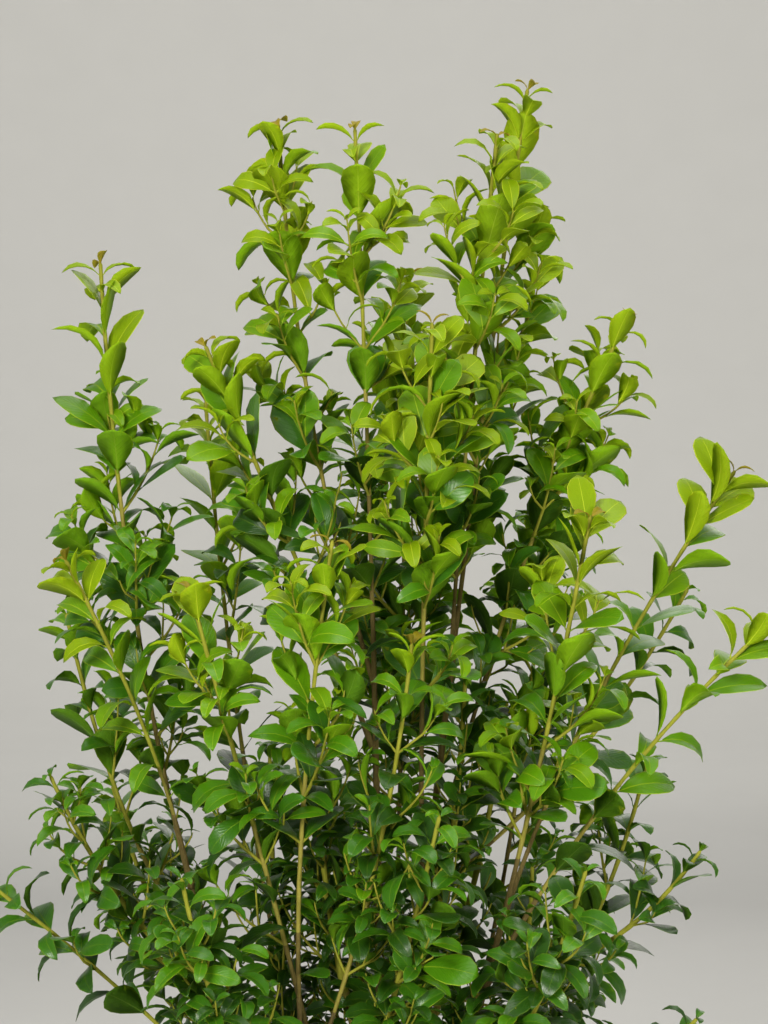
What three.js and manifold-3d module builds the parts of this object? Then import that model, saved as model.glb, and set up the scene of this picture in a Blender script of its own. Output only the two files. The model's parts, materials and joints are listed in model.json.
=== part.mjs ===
// A bushy evergreen shrub in a plain plastic nursery pot, about 1.34 m tall with the pot.
// Upright stems rise from one short trunk. Each carries leafy shoots with opposite leaves on
// three-sided twigs. Millimetres, +Z up, the origin at the centre of the pot's flat underside.
// The crown's front faces -Y.
import * as THREE from "three";
import { mergeVertices } from "three/addons/utils/BufferGeometryUtils.js";
import Module from "manifold-3d";

const wasm = await Module();
wasm.setup();
const { Manifold } = wasm;

// Driving dimensions of the pot and the potting mix
const POT = {
  height: 285,
  footRadius: 113,
  bandRadius: 143,
  rimRadius: 150,
  bandHeight: 34,
  wall: 2.6,
  sides: 32,
};
const DRAIN = { count: 8, width: 16, height: 9, bottom: 4 };
const SOIL_TOP = 246;
const TOUCH = 0.3; // the gap that touching pieces keep
const SOIL_GAP = 0.5; // between the mix and the pot's wall

// Driving dimensions of the short trunk, whose root flare has a few lobes
const TRUNK = {
  footRadius: 17,
  topRadius: 15,
  flare: 12,
  height: 92,
  lean: [3, -4],
  sides: 12,
  rings: 8,
  lobes: 5,
};

// Limbs and twigs
const LIMB = { sides: 5, ringStep: 95, tipRadius: 2.2, sideShare: 0.86 };
const TWIG = { sides: 3, ringStep: 130, stemTip: 1.7, sideRoot: 2.2, sideTip: 1.5 };
const LEAF = {
  length: 100,
  width: 58,
  thickness: 2,
  rootOut: 0.2, // from the twig's middle line to the leaf's root
  fold: 0.2,
  arch: 0.05,
  droop: 0.17,
};
const GROWTH = {
  internode: 68, // between leaf pairs on an old part of a shoot
  firstInternode: 20, // between the two topmost pairs
  bareFoot: 22, // no leaves nearer than this to a twig's foot
  apex: 14, // the top leaves stand this far above their shoot's end
  sideEvery: 2, // every second node carries a pair of side twigs
  bareSide: 100, // no side twigs nearer to a shoot's tip than this
  sideShare: 0.42, // of the shoot above a side twig, as that twig's length
  sideAngle: 42, // degrees off the stem
  leafAngles: [20, 50], // degrees off the stem, for a young leaf and an old one
  youngNodes: 4, // leaves grow to full size over this many nodes
  youngSize: 0.4, // the top leaves' share of the full size
  sideAge: 2, // a side twig's top leaves are as old as those of this node
  shrink: [1, 0.82, 0.66], // sizes that a leaf is tried at until it fits
  clear: 0.5, // between one mass and anything else
  finest: 0.25, // smaller steps than this are smoothed away where pieces join
};
const REACH_SHARE = { foot: 1.35, tip: 0.9 }; // of a mass's reach below, at its foot and its tip

// Each shoot is a curve from its parent to its tip, bent at an elbow. Its bare part is a bough,
// and the rest is the stem of a mass of foliage, which keeps within its reach of that stem.
// A shoot with no bare part starts on its parent's bark. Every row gives: name; parent; where it
// leaves its parent, as a share of the parent's curve or of the trunk's height; elbow; tip; the
// bough's share of the shoot's curve; reach; and the foot's radius of a shoot that leaves the
// trunk, where the others take theirs from the parent's bough.
const SHOOTS = [
  ["centre", "trunk", 0.86, [4, 2, 800], [-19, 0, 1309], 0.6, 66, 5.6],
  ["far_left", "trunk", 0.62, [-198, -10, 604], [-230, 10, 1199], 0.56, 72, 5.3],
  ["tall_right", "trunk", 0.9, [72, 26, 987], [125, 40, 1344], 0.5, 72, 5.3],
  ["right", "trunk", 0.8, [14, 55, 737], [209, 60, 1149], 0.54, 76, 5.1],
  ["front_right", "trunk", 0.66, [104, -58, 612], [167, -130, 998], 0.62, 70, 5.3],
  ["front_left", "trunk", 0.74, [-54, -95, 578], [-147, -140, 940], 0.46, 74, 4.9],
  ["front_centre", "trunk", 0.56, [-106, -134, 500], [-35, -152, 980], 0.56, 72, 4.9],
  ["back_centre", "trunk", 0.82, [22, 150, 620], [25, 185, 1190], 0.5, 88, 5.1],
  ["back_left", "trunk", 0.6, [-112, 120, 560], [-152, 150, 1080], 0.5, 84, 4.9],
  ["back_right", "trunk", 0.7, [122, 115, 560], [152, 165, 1020], 0.48, 86, 4.9],
  ["left", "centre", 0.48, [-66, -48, 959], [-140, -50, 1131], 0.22, 66],
  ["centre_left", "centre", 0.54, [-67, 22, 1052], [-83, 20, 1315], 0.18, 60],
  ["inner_right", "tall_right", 0.44, [66, -34, 1010], [97, -32, 1302], 0.2, 58],
  ["front_high", "tall_right", 0.26, [32, -66, 800], [43, -110, 1149], 0.4, 66],
  ["high_outer_right", "front_right", 0.52, [151, -26, 819], [295, -10, 1027], 0.24, 60],
  ["outer_right", "front_right", 0.46, [172, -68, 770], [314, -62, 902], 0.24, 62],
  ["outer_left", "far_left", 0.5, [-172, -52, 800], [-251, -80, 959], 0.26, 62],
  ["side_left_back", "far_left", 0.42, [-222, 60, 690], [-268, 78, 900], 0.2, 76],
  ["side_right_back", "right", 0.42, [170, 92, 740], [268, 96, 920], 0.22, 76],
  ["low_left", "far_left", 0.38, [-213, -52, 655], [-268, -50, 780], 0, 70],
  ["lowest_left", "far_left", 0.22, [-190, -70, 600], [-311, -70, 690], 0.2, 78],
  ["front_mid", "front_centre", 0.44, [6, -142, 700], [27, -150, 900], 0.2, 66],
  ["low_front", "front_centre", 0.28, [4, -130, 560], [48, -180, 769], 0, 78],
  ["low_front_left", "front_centre", 0.22, [-120, -170, 550], [-150, -205, 725], 0, 82],
  ["low_front_right", "front_right", 0.28, [118, -150, 560], [160, -200, 730], 0, 82],
  ["low_right", "right", 0.3, [190, 0, 590], [268, -18, 712], 0, 76],
  ["lowest_right", "front_right", 0.2, [170, -70, 490], [258, -96, 590], 0, 74],
  ["low_back_left", "back_left", 0.3, [-190, 120, 560], [-236, 150, 740], 0, 88],
  ["low_back_right", "back_right", 0.3, [190, 120, 560], [238, 150, 760], 0, 88],
  ["low_back", "back_centre", 0.28, [0, 200, 540], [-12, 246, 745], 0, 92],
  ["inner_left", "far_left", 0.15, [-88, 24, 520], [-92, 40, 790], 0, 72],
  ["inner_front", "centre", 0.18, [-40, -40, 600], [-52, -50, 790], 0, 70],
  ["inner_middle", "tall_right", 0.18, [64, -10, 660], [72, -30, 860], 0, 72],
  ["inner_low_right", "front_right", 0.26, [124, -16, 500], [128, -22, 700], 0, 72],
  ["inner_back_right", "right", 0.2, [82, 92, 600], [112, 98, 820], 0, 76],
  ["inner_back", "back_centre", 0.18, [-20, 110, 600], [-50, 110, 800], 0, 76],
].map(([name, parent, at, elbow, tip, bare, reach, radius]) => ({
  name,
  parent,
  at,
  elbow,
  tip,
  bare,
  reach,
  radius,
}));

const UP = new THREE.Vector3(0, 0, 1);
const paints = {
  pot: new THREE.MeshStandardMaterial({ color: 0x1c1d1e, roughness: 0.55, metalness: 0 }),
  soil: new THREE.MeshStandardMaterial({ color: 0x3a281b, roughness: 0.95, metalness: 0 }),
  bark: new THREE.MeshStandardMaterial({ color: 0x8a6f4c, roughness: 0.85, metalness: 0 }),
  foliage: new THREE.MeshStandardMaterial({ color: 0x4f8a1c, roughness: 0.5, metalness: 0 }),
};

// The seeded rule's number from 0 to 1, the same for the same shoot, node and use
function chance(seed, node, use) {
  const x = Math.sin(seed * 127.1 + node * 311.7 + use * 74.7) * 43758.5453;
  return x - Math.floor(x);
}

function mix(a, b, share) {
  return a + (b - a) * share;
}

// A closed geometry as a solid for joining and cutting
function solidOf(geometry) {
  const bare = geometry.clone();
  bare.deleteAttribute("normal");
  bare.deleteAttribute("uv");
  const merged = mergeVertices(bare, 1e-4);
  return new Manifold(
    new wasm.Mesh({
      numProp: 3,
      vertProperties: merged.attributes.position.array,
      triVerts: new Uint32Array(merged.index.array),
    }),
  );
}

function meshOf(name, solid, paint) {
  const { vertProperties, triVerts } = solid.getMesh();
  const geometry = new THREE.BufferGeometry()
    .setAttribute("position", new THREE.BufferAttribute(vertProperties, 3))
    .setIndex(new THREE.BufferAttribute(triVerts, 1));
  geometry.computeVertexNormals();
  const mesh = new THREE.Mesh(geometry, paint);
  mesh.name = name;
  return mesh;
}

// A solid of revolution about +Z, from a profile of [radius, height] pairs
function turned(profile, sides) {
  const points = profile.map(([r, z]) => new THREE.Vector2(r, z));
  return solidOf(new THREE.LatheGeometry(points, sides).rotateX(Math.PI / 2));
}

// The quadratic curve of a shoot or a side twig, with a fixed horizontal direction across it
class Path {
  constructor(start, elbow, tip) {
    this.curve = new THREE.QuadraticBezierCurve3(start, elbow, tip);
    const across = new THREE.Vector3().crossVectors(UP, tip.clone().sub(start));
    this.across = across.lengthSq() > 1 ? across.normalize() : new THREE.Vector3(0, 1, 0);
    this.length = this.curve.getLength();
  }

  point(t) {
    return this.curve.getPoint(t);
  }

  // The tangent and two directions square to it
  frame(t) {
    const along = this.curve.getTangent(t);
    const u = this.across.clone().addScaledVector(along, -this.across.dot(along)).normalize();
    return { along, u, v: new THREE.Vector3().crossVectors(along, u) };
  }

  // The curve's own share at a length measured back from its tip
  shareBelowTip(distance) {
    return this.curve.getUtoTmapping(Math.max(0, 1 - distance / this.length));
  }
}

// How many straight lengths a tube along a stretch of a path has
function lengthsOf(path, from, to, ringStep) {
  return Math.max(1, Math.round((path.length * (to - from)) / ringStep));
}

// A tapering tube along a stretch of a path: a cylinder whose rings are set on the path
function tube(path, from, to, footRadius, tipRadius, sides, ringStep) {
  const rings = lengthsOf(path, from, to, ringStep);
  const geometry = new THREE.CylinderGeometry(tipRadius, footRadius, 1, sides, rings);
  const place = geometry.attributes.position;
  for (let i = 0; i < place.count; i++) {
    const t = mix(from, to, place.getY(i) + 0.5);
    const { u, v } = path.frame(t);
    const p = path.point(t).addScaledVector(u, place.getZ(i)).addScaledVector(v, place.getX(i));
    place.setXYZ(i, p.x, p.y, p.z);
  }
  return solidOf(geometry);
}

// The point on a tube's straight middle line at a share of its path
function insideTube(path, from, to, ringStep, t) {
  const rings = lengthsOf(path, from, to, ringStep);
  const place = (rings * (t - from)) / (to - from);
  const ring = THREE.MathUtils.clamp(Math.floor(place), 0, rings - 1);
  const [a, b] = [ring, ring + 1].map((i) => path.point(mix(from, to, i / rings)));
  return a.lerp(b, place - ring);
}

// A leaf of eight faces: an octahedron whose corners are its root, tip, sides and midrib
function leafSolid(root, axis, face, size) {
  const across = new THREE.Vector3().crossVectors(face, axis);
  const length = LEAF.length * size;
  const halfWidth = (LEAF.width * size) / 2;
  const geometry = new THREE.OctahedronGeometry(1, 0);
  const place = geometry.attributes.position;
  for (let i = 0; i < place.count; i++) {
    const [x, y, z] = [place.getX(i), place.getY(i), place.getZ(i)];
    const p = root.clone();
    if (z < -0.5) {
      p.addScaledVector(axis, LEAF.rootOut);
    } else if (z > 0.5) {
      p.addScaledVector(axis, length).addScaledVector(face, -LEAF.droop * length);
    } else {
      const lift = LEAF.arch * length + Math.abs(x) * LEAF.fold * halfWidth + (y * LEAF.thickness) / 2;
      p.addScaledVector(axis, 0.54 * length);
      p.addScaledVector(across, x * halfWidth).addScaledVector(face, lift);
    }
    place.setXYZ(i, p.x, p.y, p.z);
  }
  const solid = solidOf(geometry);
  const tip = root.clone().addScaledVector(axis, length).addScaledVector(face, -LEAF.droop * length);
  const middle = root.clone().addScaledVector(axis, 0.54 * length);
  middle.addScaledVector(face, LEAF.arch * length);
  const sides = [-1, 1].map((side) => middle.clone().addScaledVector(across, side * halfWidth));
  return { solid, corners: [tip, middle, ...sides] };
}

// The pot: a tapering cup with a deeper band under its rim and drain slots round its foot
function makePot() {
  const { height, footRadius, bandRadius, rimRadius, bandHeight, wall, sides } = POT;
  const step = height - bandHeight;
  const cup = turned(
    [
      [0, 0],
      [footRadius - 3, 0],
      [footRadius, 3],
      [bandRadius, step],
      [rimRadius - 2, step],
      [rimRadius, step + 2],
      [rimRadius, height - 2],
      [rimRadius - 2, height],
      [rimRadius - 5, height],
      [rimRadius - 5.5, height - 2],
      [rimRadius - 5.5, step + wall],
      [bandRadius - wall, step - 1],
      [footRadius - wall, wall + 2],
      [footRadius - wall - 2, wall],
      [0, wall],
    ],
    sides,
  );
  const slots = Array.from({ length: DRAIN.count }, (_, i) => {
    const box = new THREE.BoxGeometry(24, DRAIN.width, DRAIN.height);
    box.translate(footRadius, 0, DRAIN.bottom + DRAIN.height / 2);
    return solidOf(box.rotateZ(((i + 0.5) / DRAIN.count) * 2 * Math.PI));
  });
  return cup.subtract(Manifold.union(slots));
}

// The potting mix fills the pot up to SOIL_TOP, clear of its wall
function makeSoil() {
  const { height, footRadius, bandRadius, bandHeight, wall, sides } = POT;
  const inner = (z) => {
    const share = (z - wall - 2) / (height - bandHeight - 1 - wall - 2);
    return mix(footRadius - wall, bandRadius - wall, share) - SOIL_GAP;
  };
  return turned(
    [
      [0, wall + TOUCH],
      [inner(wall + 2) - 3, wall + TOUCH],
      [inner(wall + 2), wall + 3],
      [inner(SOIL_TOP - 5), SOIL_TOP - 5],
      [inner(SOIL_TOP - 5) - 9, SOIL_TOP],
      [0, SOIL_TOP],
    ],
    sides,
  );
}

// The middle of the trunk at a share of its height: it stands upright at the mix and leans above
function trunkAxis(share) {
  const bend = share * share;
  const height = SOIL_TOP + TOUCH + share * TRUNK.height;
  return new THREE.Vector3(TRUNK.lean[0] * bend, TRUNK.lean[1] * bend, height);
}

// The trunk, from a flat cut on the mix to its fork. grow widens it, for cutting boughs clear.
function makeTrunk(grow) {
  const { footRadius, topRadius, flare, sides, rings, lobes } = TRUNK;
  const geometry = new THREE.CylinderGeometry(1, 1, 1, sides, rings);
  const place = geometry.attributes.position;
  for (let i = 0; i < place.count; i++) {
    const share = place.getY(i) + 0.5;
    const angle = Math.atan2(place.getZ(i), place.getX(i));
    const spread = flare * Math.exp(-5 * share) * (1 + 0.35 * Math.cos(lobes * angle));
    const head = share > 0.99 ? 0.7 : 1;
    const radius = (mix(footRadius, topRadius, share) + spread + grow) * head;
    const axial = Math.hypot(place.getX(i), place.getZ(i));
    const middle = trunkAxis(share);
    place.setXYZ(
      i,
      middle.x + place.getX(i) * axial * radius,
      middle.y - place.getZ(i) * axial * radius,
      middle.z + share * grow,
    );
  }
  return solidOf(geometry);
}

// Every shoot's path, radii and own seed, parents first
function laidOut() {
  const shoots = new Map();
  SHOOTS.forEach((row, i) => {
    const parent = shoots.get(row.parent);
    const start = parent ? parent.path.point(row.at) : trunkAxis(row.at);
    const path = new Path(start, new THREE.Vector3(...row.elbow), new THREE.Vector3(...row.tip));
    const radius = row.radius ?? LIMB.sideShare * radiusAt(parent, row.at);
    shoots.set(row.name, { ...row, radius, path, parent, seed: i + 1 });
  });
  return shoots;
}

// The radius of a bough at a share of its shoot's curve
function radiusAt({ radius, bare }, t) {
  return mix(radius, tipRadiusOf(radius), t / bare);
}

function tipRadiusOf(radius) {
  return Math.min(LIMB.tipRadius, 0.85 * radius);
}

// The boughs, each cut clear of what carries it, and the blunt start of every mass's stem
function makeLimbs(shoots) {
  const grow = TOUCH / Math.cos(Math.PI / LIMB.sides);
  const boughs = new Map();
  const stems = new Map();
  const cutters = new Map([[undefined, makeTrunk(grow)]]);
  const carriers = [];
  for (const shoot of shoots.values()) {
    const { name, path, bare, radius } = shoot;
    const cutter = cutters.get(shoot.parent);
    if (bare > 0) {
      const tip = tipRadiusOf(radius);
      let bough = tube(path, 0, bare, radius, tip, LIMB.sides, LIMB.ringStep).subtract(cutter);
      for (const earlier of carriers) bough = bough.subtract(earlier);
      boughs.set(name, largest(bough));
      const grown = tube(path, 0, bare, radius + grow, tip + grow, LIMB.sides, LIMB.ringStep);
      cutters.set(shoot, grown);
      if (!shoot.parent) carriers.push(grown);
    }
    const after = bare > 0 ? TOUCH / (0.7 * path.length) : 0;
    const end = path.shareBelowTip(GROWTH.apex);
    const foot = bare > 0 ? tipRadiusOf(radius) : radius;
    const stem = tube(path, bare + after, end, foot, TWIG.stemTip, TWIG.sides, TWIG.ringStep);
    stems.set(name, largest(bare > 0 ? stem : stem.subtract(cutter)));
  }
  return { boughs, stems };
}

// The largest body of a solid that a cut may have left in pieces
function largest(solid) {
  return solid.decompose().reduce((a, b) => (a.volume() > b.volume() ? a : b));
}

// Where each mass's space lies: the lines along its stem, and how far it reaches from each
function spacesOf(shoots) {
  const linesOf = ({ path, bare, reach }) => {
    const points = Array.from({ length: 9 }, (_, i) => path.point(mix(bare, 1, i / 8)));
    return points.slice(1).map((point, i) => ({
      line: new THREE.Line3(points[i], point),
      reach: reach * mix(REACH_SHARE.foot, REACH_SHARE.tip, i / 7),
    }));
  };
  return new Map([...shoots.values()].map((shoot) => [shoot.name, linesOf(shoot)]));
}

// True if a point is within a mass's reach and nearer to its stem than to any other mass's
function ownsPoint(spaces, name, point) {
  const nearest = new THREE.Vector3();
  const shareOf = ({ line, reach }) => {
    line.closestPointToPoint(point, true, nearest);
    return nearest.distanceTo(point) / reach;
  };
  const least = (lines) => Math.min(...lines.map(shareOf));
  const own = least(spaces.get(name));
  return own <= 1 && [...spaces].every(([other, lines]) => other === name || least(lines) > own);
}

// Boxes round solids, so that only near ones are measured exactly
class Neighbours {
  constructor() {
    this.held = [];
  }

  add(owner, solid) {
    this.held.push({ owner, solid, box: solid.boundingBox() });
  }

  clearOf(owner, solid) {
    const { min, max } = solid.boundingBox();
    const near = ({ box }) =>
      [0, 1, 2].every((k) => box.min[k] < max[k] + 1 && box.max[k] > min[k] - 1);
    return this.held
      .filter((item) => item.owner !== owner && near(item))
      .every((item) => solid.minGap(item.solid, 1) >= GROWTH.clear);
  }
}

// Node places on a path, as lengths back from its tip: close together at the tip, then even
function nodesOf(length, firstAge) {
  const nodes = [];
  let distance = GROWTH.apex + 3;
  for (let k = firstAge; distance < length - GROWTH.bareFoot; k++) {
    nodes.push({ k, distance });
    distance += mix(GROWTH.firstInternode, GROWTH.internode, Math.min(1, k / GROWTH.youngNodes));
  }
  return nodes;
}

// The direction of a node's pair: each pair stands square to the one below it
function pairDirection({ u, v }, turn, side) {
  return u.clone().multiplyScalar(Math.cos(turn) * side).addScaledVector(v, Math.sin(turn) * side);
}

// The direction at an angle from a stem's own, towards one side
function leaning(along, out, angle) {
  return along.clone().multiplyScalar(Math.cos(angle)).addScaledVector(out, Math.sin(angle));
}

function degrees(angle) {
  return THREE.MathUtils.degToRad(angle);
}

// Leaf pairs along a path. Those that leave the mass's space or come too near anything are skipped.
function leavesAlong(path, from, to, seed, firstAge, keep) {
  nodesOf(path.length * (1 - from), firstAge).forEach(({ k, distance }) => {
    const t = path.shareBelowTip(distance);
    const frame = path.frame(t);
    const age = Math.min(1, k / GROWTH.youngNodes);
    const turn = k * (Math.PI / 2) + (chance(seed, k, 1) - 0.5) * 0.9;
    const lean = degrees(mix(...GROWTH.leafAngles, age) + (chance(seed, k, 2) - 0.5) * 14);
    for (const side of [-1, 1]) {
      const out = pairDirection(frame, turn, side);
      const axis = leaning(frame.along, out, lean);
      const face = leaning(frame.along, out, lean - Math.PI / 2);
      const size = mix(GROWTH.youngSize, 1, age) * (0.88 + 0.2 * chance(seed, k, side > 0 ? 3 : 4));
      const root = insideTube(path, from, to, TWIG.ringStep, t);
      GROWTH.shrink.find((share) => keep(leafSolid(root, axis, face, size * share)));
    }
  });
}

// Side twigs along a mass's stem: pairs that leave at an angle and turn up, longer lower down
function sideTwigs(shoot) {
  const twigs = [];
  const { path, seed, reach } = shoot;
  for (const { k, distance } of nodesOf(path.length * (1 - shoot.bare), 0)) {
    if (k % GROWTH.sideEvery || distance < GROWTH.bareSide) continue;
    const t = path.shareBelowTip(distance);
    const frame = path.frame(t);
    const turn = (k / GROWTH.sideEvery) * (Math.PI / 2) + (chance(seed, k, 5) - 0.5) * 0.8;
    for (const side of [-1, 1]) {
      const wish = GROWTH.sideShare * distance * (0.75 + 0.5 * chance(seed, k, side > 0 ? 6 : 7));
      const length = Math.min(wish, reach * 1.05);
      const lean = degrees(GROWTH.sideAngle + (chance(seed, k, 8) - 0.5) * 12);
      const out = pairDirection(frame, turn, side);
      const way = leaning(frame.along, out, lean);
      const root = path.point(t);
      const elbow = root.clone().addScaledVector(way, length * 0.55);
      const tip = root.clone().addScaledVector(way, length * 0.8).addScaledVector(UP, length * 0.26);
      twigs.push({ path: new Path(root, elbow, tip), seed: seed * 40 + k * 2 + (side > 0 ? 1 : 0) });
    }
  }
  return twigs;
}

// One mass of foliage: its stem, side twigs and leaves, fused into one solid
function makeMass(shoot, stem, spaces, neighbours) {
  const pieces = [stem];
  const keepLeaf = ({ solid, corners }) => {
    const inside = corners.every((p) => ownsPoint(spaces, shoot.name, p));
    const fits = inside && neighbours.clearOf(shoot.name, solid);
    if (fits) pieces.push(solid);
    return fits;
  };
  leavesAlong(shoot.path, shoot.bare, shoot.path.shareBelowTip(GROWTH.apex), shoot.seed, 0, keepLeaf);
  for (const { path, seed } of sideTwigs(shoot)) {
    const twig = tube(path, 0, 1, TWIG.sideRoot, TWIG.sideTip, TWIG.sides, TWIG.ringStep);
    const inside = [0.4, 0.7, 1].every((t) => ownsPoint(spaces, shoot.name, path.point(t)));
    if (!inside || !neighbours.clearOf(shoot.name, twig)) continue;
    pieces.push(twig);
    leavesAlong(path, 0, 1, seed, GROWTH.sideAge, keepLeaf);
  }
  return largest(Manifold.union(pieces).asOriginal().simplify(GROWTH.finest));
}

const shoots = laidOut();
const trunk = makeTrunk(0);
const { boughs, stems } = makeLimbs(shoots);
const spaces = spacesOf(shoots);
const neighbours = new Neighbours();
const pot = makePot();
const soil = makeSoil();
neighbours.add("pot", pot);
neighbours.add("soil", soil);
neighbours.add("trunk", trunk);
boughs.forEach((solid, name) => neighbours.add(`bough_${name}`, solid));
stems.forEach((solid, name) => neighbours.add(name, solid));

const shrub = new THREE.Group();
const container = new THREE.Group();
container.add(meshOf("pot", pot, paints.pot), meshOf("potting_mix", soil, paints.soil));
const limbs = new THREE.Group();
limbs.add(meshOf("trunk", trunk, paints.bark));
boughs.forEach((solid, name) => limbs.add(meshOf(`bough_${name}`, solid, paints.bark)));
const crown = new THREE.Group();
for (const shoot of shoots.values()) {
  const solid = makeMass(shoot, stems.get(shoot.name), spaces, neighbours);
  neighbours.add(shoot.name, solid);
  crown.add(meshOf(`foliage_${shoot.name}`, solid, paints.foliage));
}
shrub.add(container, limbs, crown);

export default shrub;
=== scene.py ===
"""A bushy evergreen shrub with opposite oval leaves, in a plain plastic nursery pot."""

import json
import logging
import math
from dataclasses import dataclass, field
from enum import Enum
from itertools import product
from typing import Callable, ClassVar, Iterable, Sequence

import bmesh
import bpy
import numpy as np
from bpy.types import ID, Collection, Material, Mesh, Node, NodeSocket, NodeTree, Object
from mathutils import Matrix, Vector

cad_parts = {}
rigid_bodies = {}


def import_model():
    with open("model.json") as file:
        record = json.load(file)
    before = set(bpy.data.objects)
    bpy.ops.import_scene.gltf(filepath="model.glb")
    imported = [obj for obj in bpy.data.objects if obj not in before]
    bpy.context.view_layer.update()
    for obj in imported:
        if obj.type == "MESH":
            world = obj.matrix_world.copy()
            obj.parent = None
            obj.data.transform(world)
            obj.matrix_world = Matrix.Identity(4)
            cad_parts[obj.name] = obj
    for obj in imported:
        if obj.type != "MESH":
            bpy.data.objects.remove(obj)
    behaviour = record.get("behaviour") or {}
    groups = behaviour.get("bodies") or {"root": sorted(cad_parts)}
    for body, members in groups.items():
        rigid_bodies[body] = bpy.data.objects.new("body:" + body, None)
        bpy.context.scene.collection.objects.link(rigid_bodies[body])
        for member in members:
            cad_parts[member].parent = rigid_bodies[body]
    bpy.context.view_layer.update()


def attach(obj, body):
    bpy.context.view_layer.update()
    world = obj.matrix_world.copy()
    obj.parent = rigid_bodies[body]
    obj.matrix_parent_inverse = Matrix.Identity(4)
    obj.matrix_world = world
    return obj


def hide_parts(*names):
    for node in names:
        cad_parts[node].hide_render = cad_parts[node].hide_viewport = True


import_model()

Triple = tuple[float, float, float]

LOG = logging.getLogger("potted_shrub")
MM = 0.001
UP = np.array([0.0, 0.0, 1.0])
# The pull of the light on the leaves
LIGHT = np.array([-0.04, -0.22, 0.06])
BODY = "root"


# Shared sizes


@dataclass(frozen=True)
class PotSizes:
    """The pot's sizes, in millimetres."""

    height: float = 285
    foot_radius: float = 113
    band_radius: float = 143
    rim_radius: float = 150
    band_height: float = 34
    wall: float = 2.6
    drains: int = 8
    drain_width: float = 16
    drain_height: float = 9
    drain_bottom: float = 4
    drain_depth: float = 24
    soil_top: float = 246


@dataclass(frozen=True)
class TrunkSizes:
    """The trunk's sizes, in millimetres."""

    foot_radius: float = 17
    top_radius: float = 15
    flare: float = 12
    height: float = 92
    lean: tuple[float, float] = (3, -4)
    lobes: int = 5


POT = PotSizes()
TRUNK = TrunkSizes()
# How far a part stands clear of what carries it, in millimetres
TOUCH = 0.3
# The radius of a bough's tip in millimetres, and at most as a share of its foot's
LIMB_TIP_RADIUS = 2.2
MOST_TIP_SHARE = 0.85
# The foot of a side bough and of a mass's stem, as a share of what they leave
SIDE_SHARE = 0.86
STEM_SLIM = 0.86
STEM_TIP_RADIUS = 1.6
# A mass's reach at its foot and at its tip, as shares of its row's reach
REACHES = (1.35, 0.9)


class Flush(Enum):
    """How much of a shoot's upper part carries bright new leaves, in millimetres."""

    STRONG = 330
    FAIR = 190
    SLIGHT = 100
    NONE = 1


@dataclass(frozen=True)
class ShootRow:
    """One shoot as the solids have it, in millimetres.

    Attributes:
        name: The shoot's name, which its bough and its mass of foliage carry.
        parent: The shoot that it leaves, or an empty name for the trunk.
        at: Where it leaves, as a share of the parent's curve or the trunk's height.
        elbow: The middle control point of its curve.
        tip: Where it ends.
        bare: The share of the curve that is a bare bough.
        radius: At its foot, or 0 where the parent's bough gives it.
        reach: How far its foliage stands out from its stem.
        flush: How much of it is bright new growth.
        branching: How many of its axils grow twigs, for a common share of one.
        spacing: Between its leaf pairs, for a common spacing of one.
        haste: How soon below its tip its leaves are full grown, for a common haste of one.
        clear: Its stem has no side twigs nearer to its tip than this.
        turned: How far its leaf pairs are turned round the stem, in radians.
    """

    name: str
    parent: str
    at: float
    elbow: Triple
    tip: Triple
    bare: float
    radius: float
    reach: float
    flush: Flush = Flush.SLIGHT
    branching: float = 1.0
    spacing: float = 1.0
    haste: float = 1.0
    clear: float = 70
    turned: float = 0.0


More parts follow.
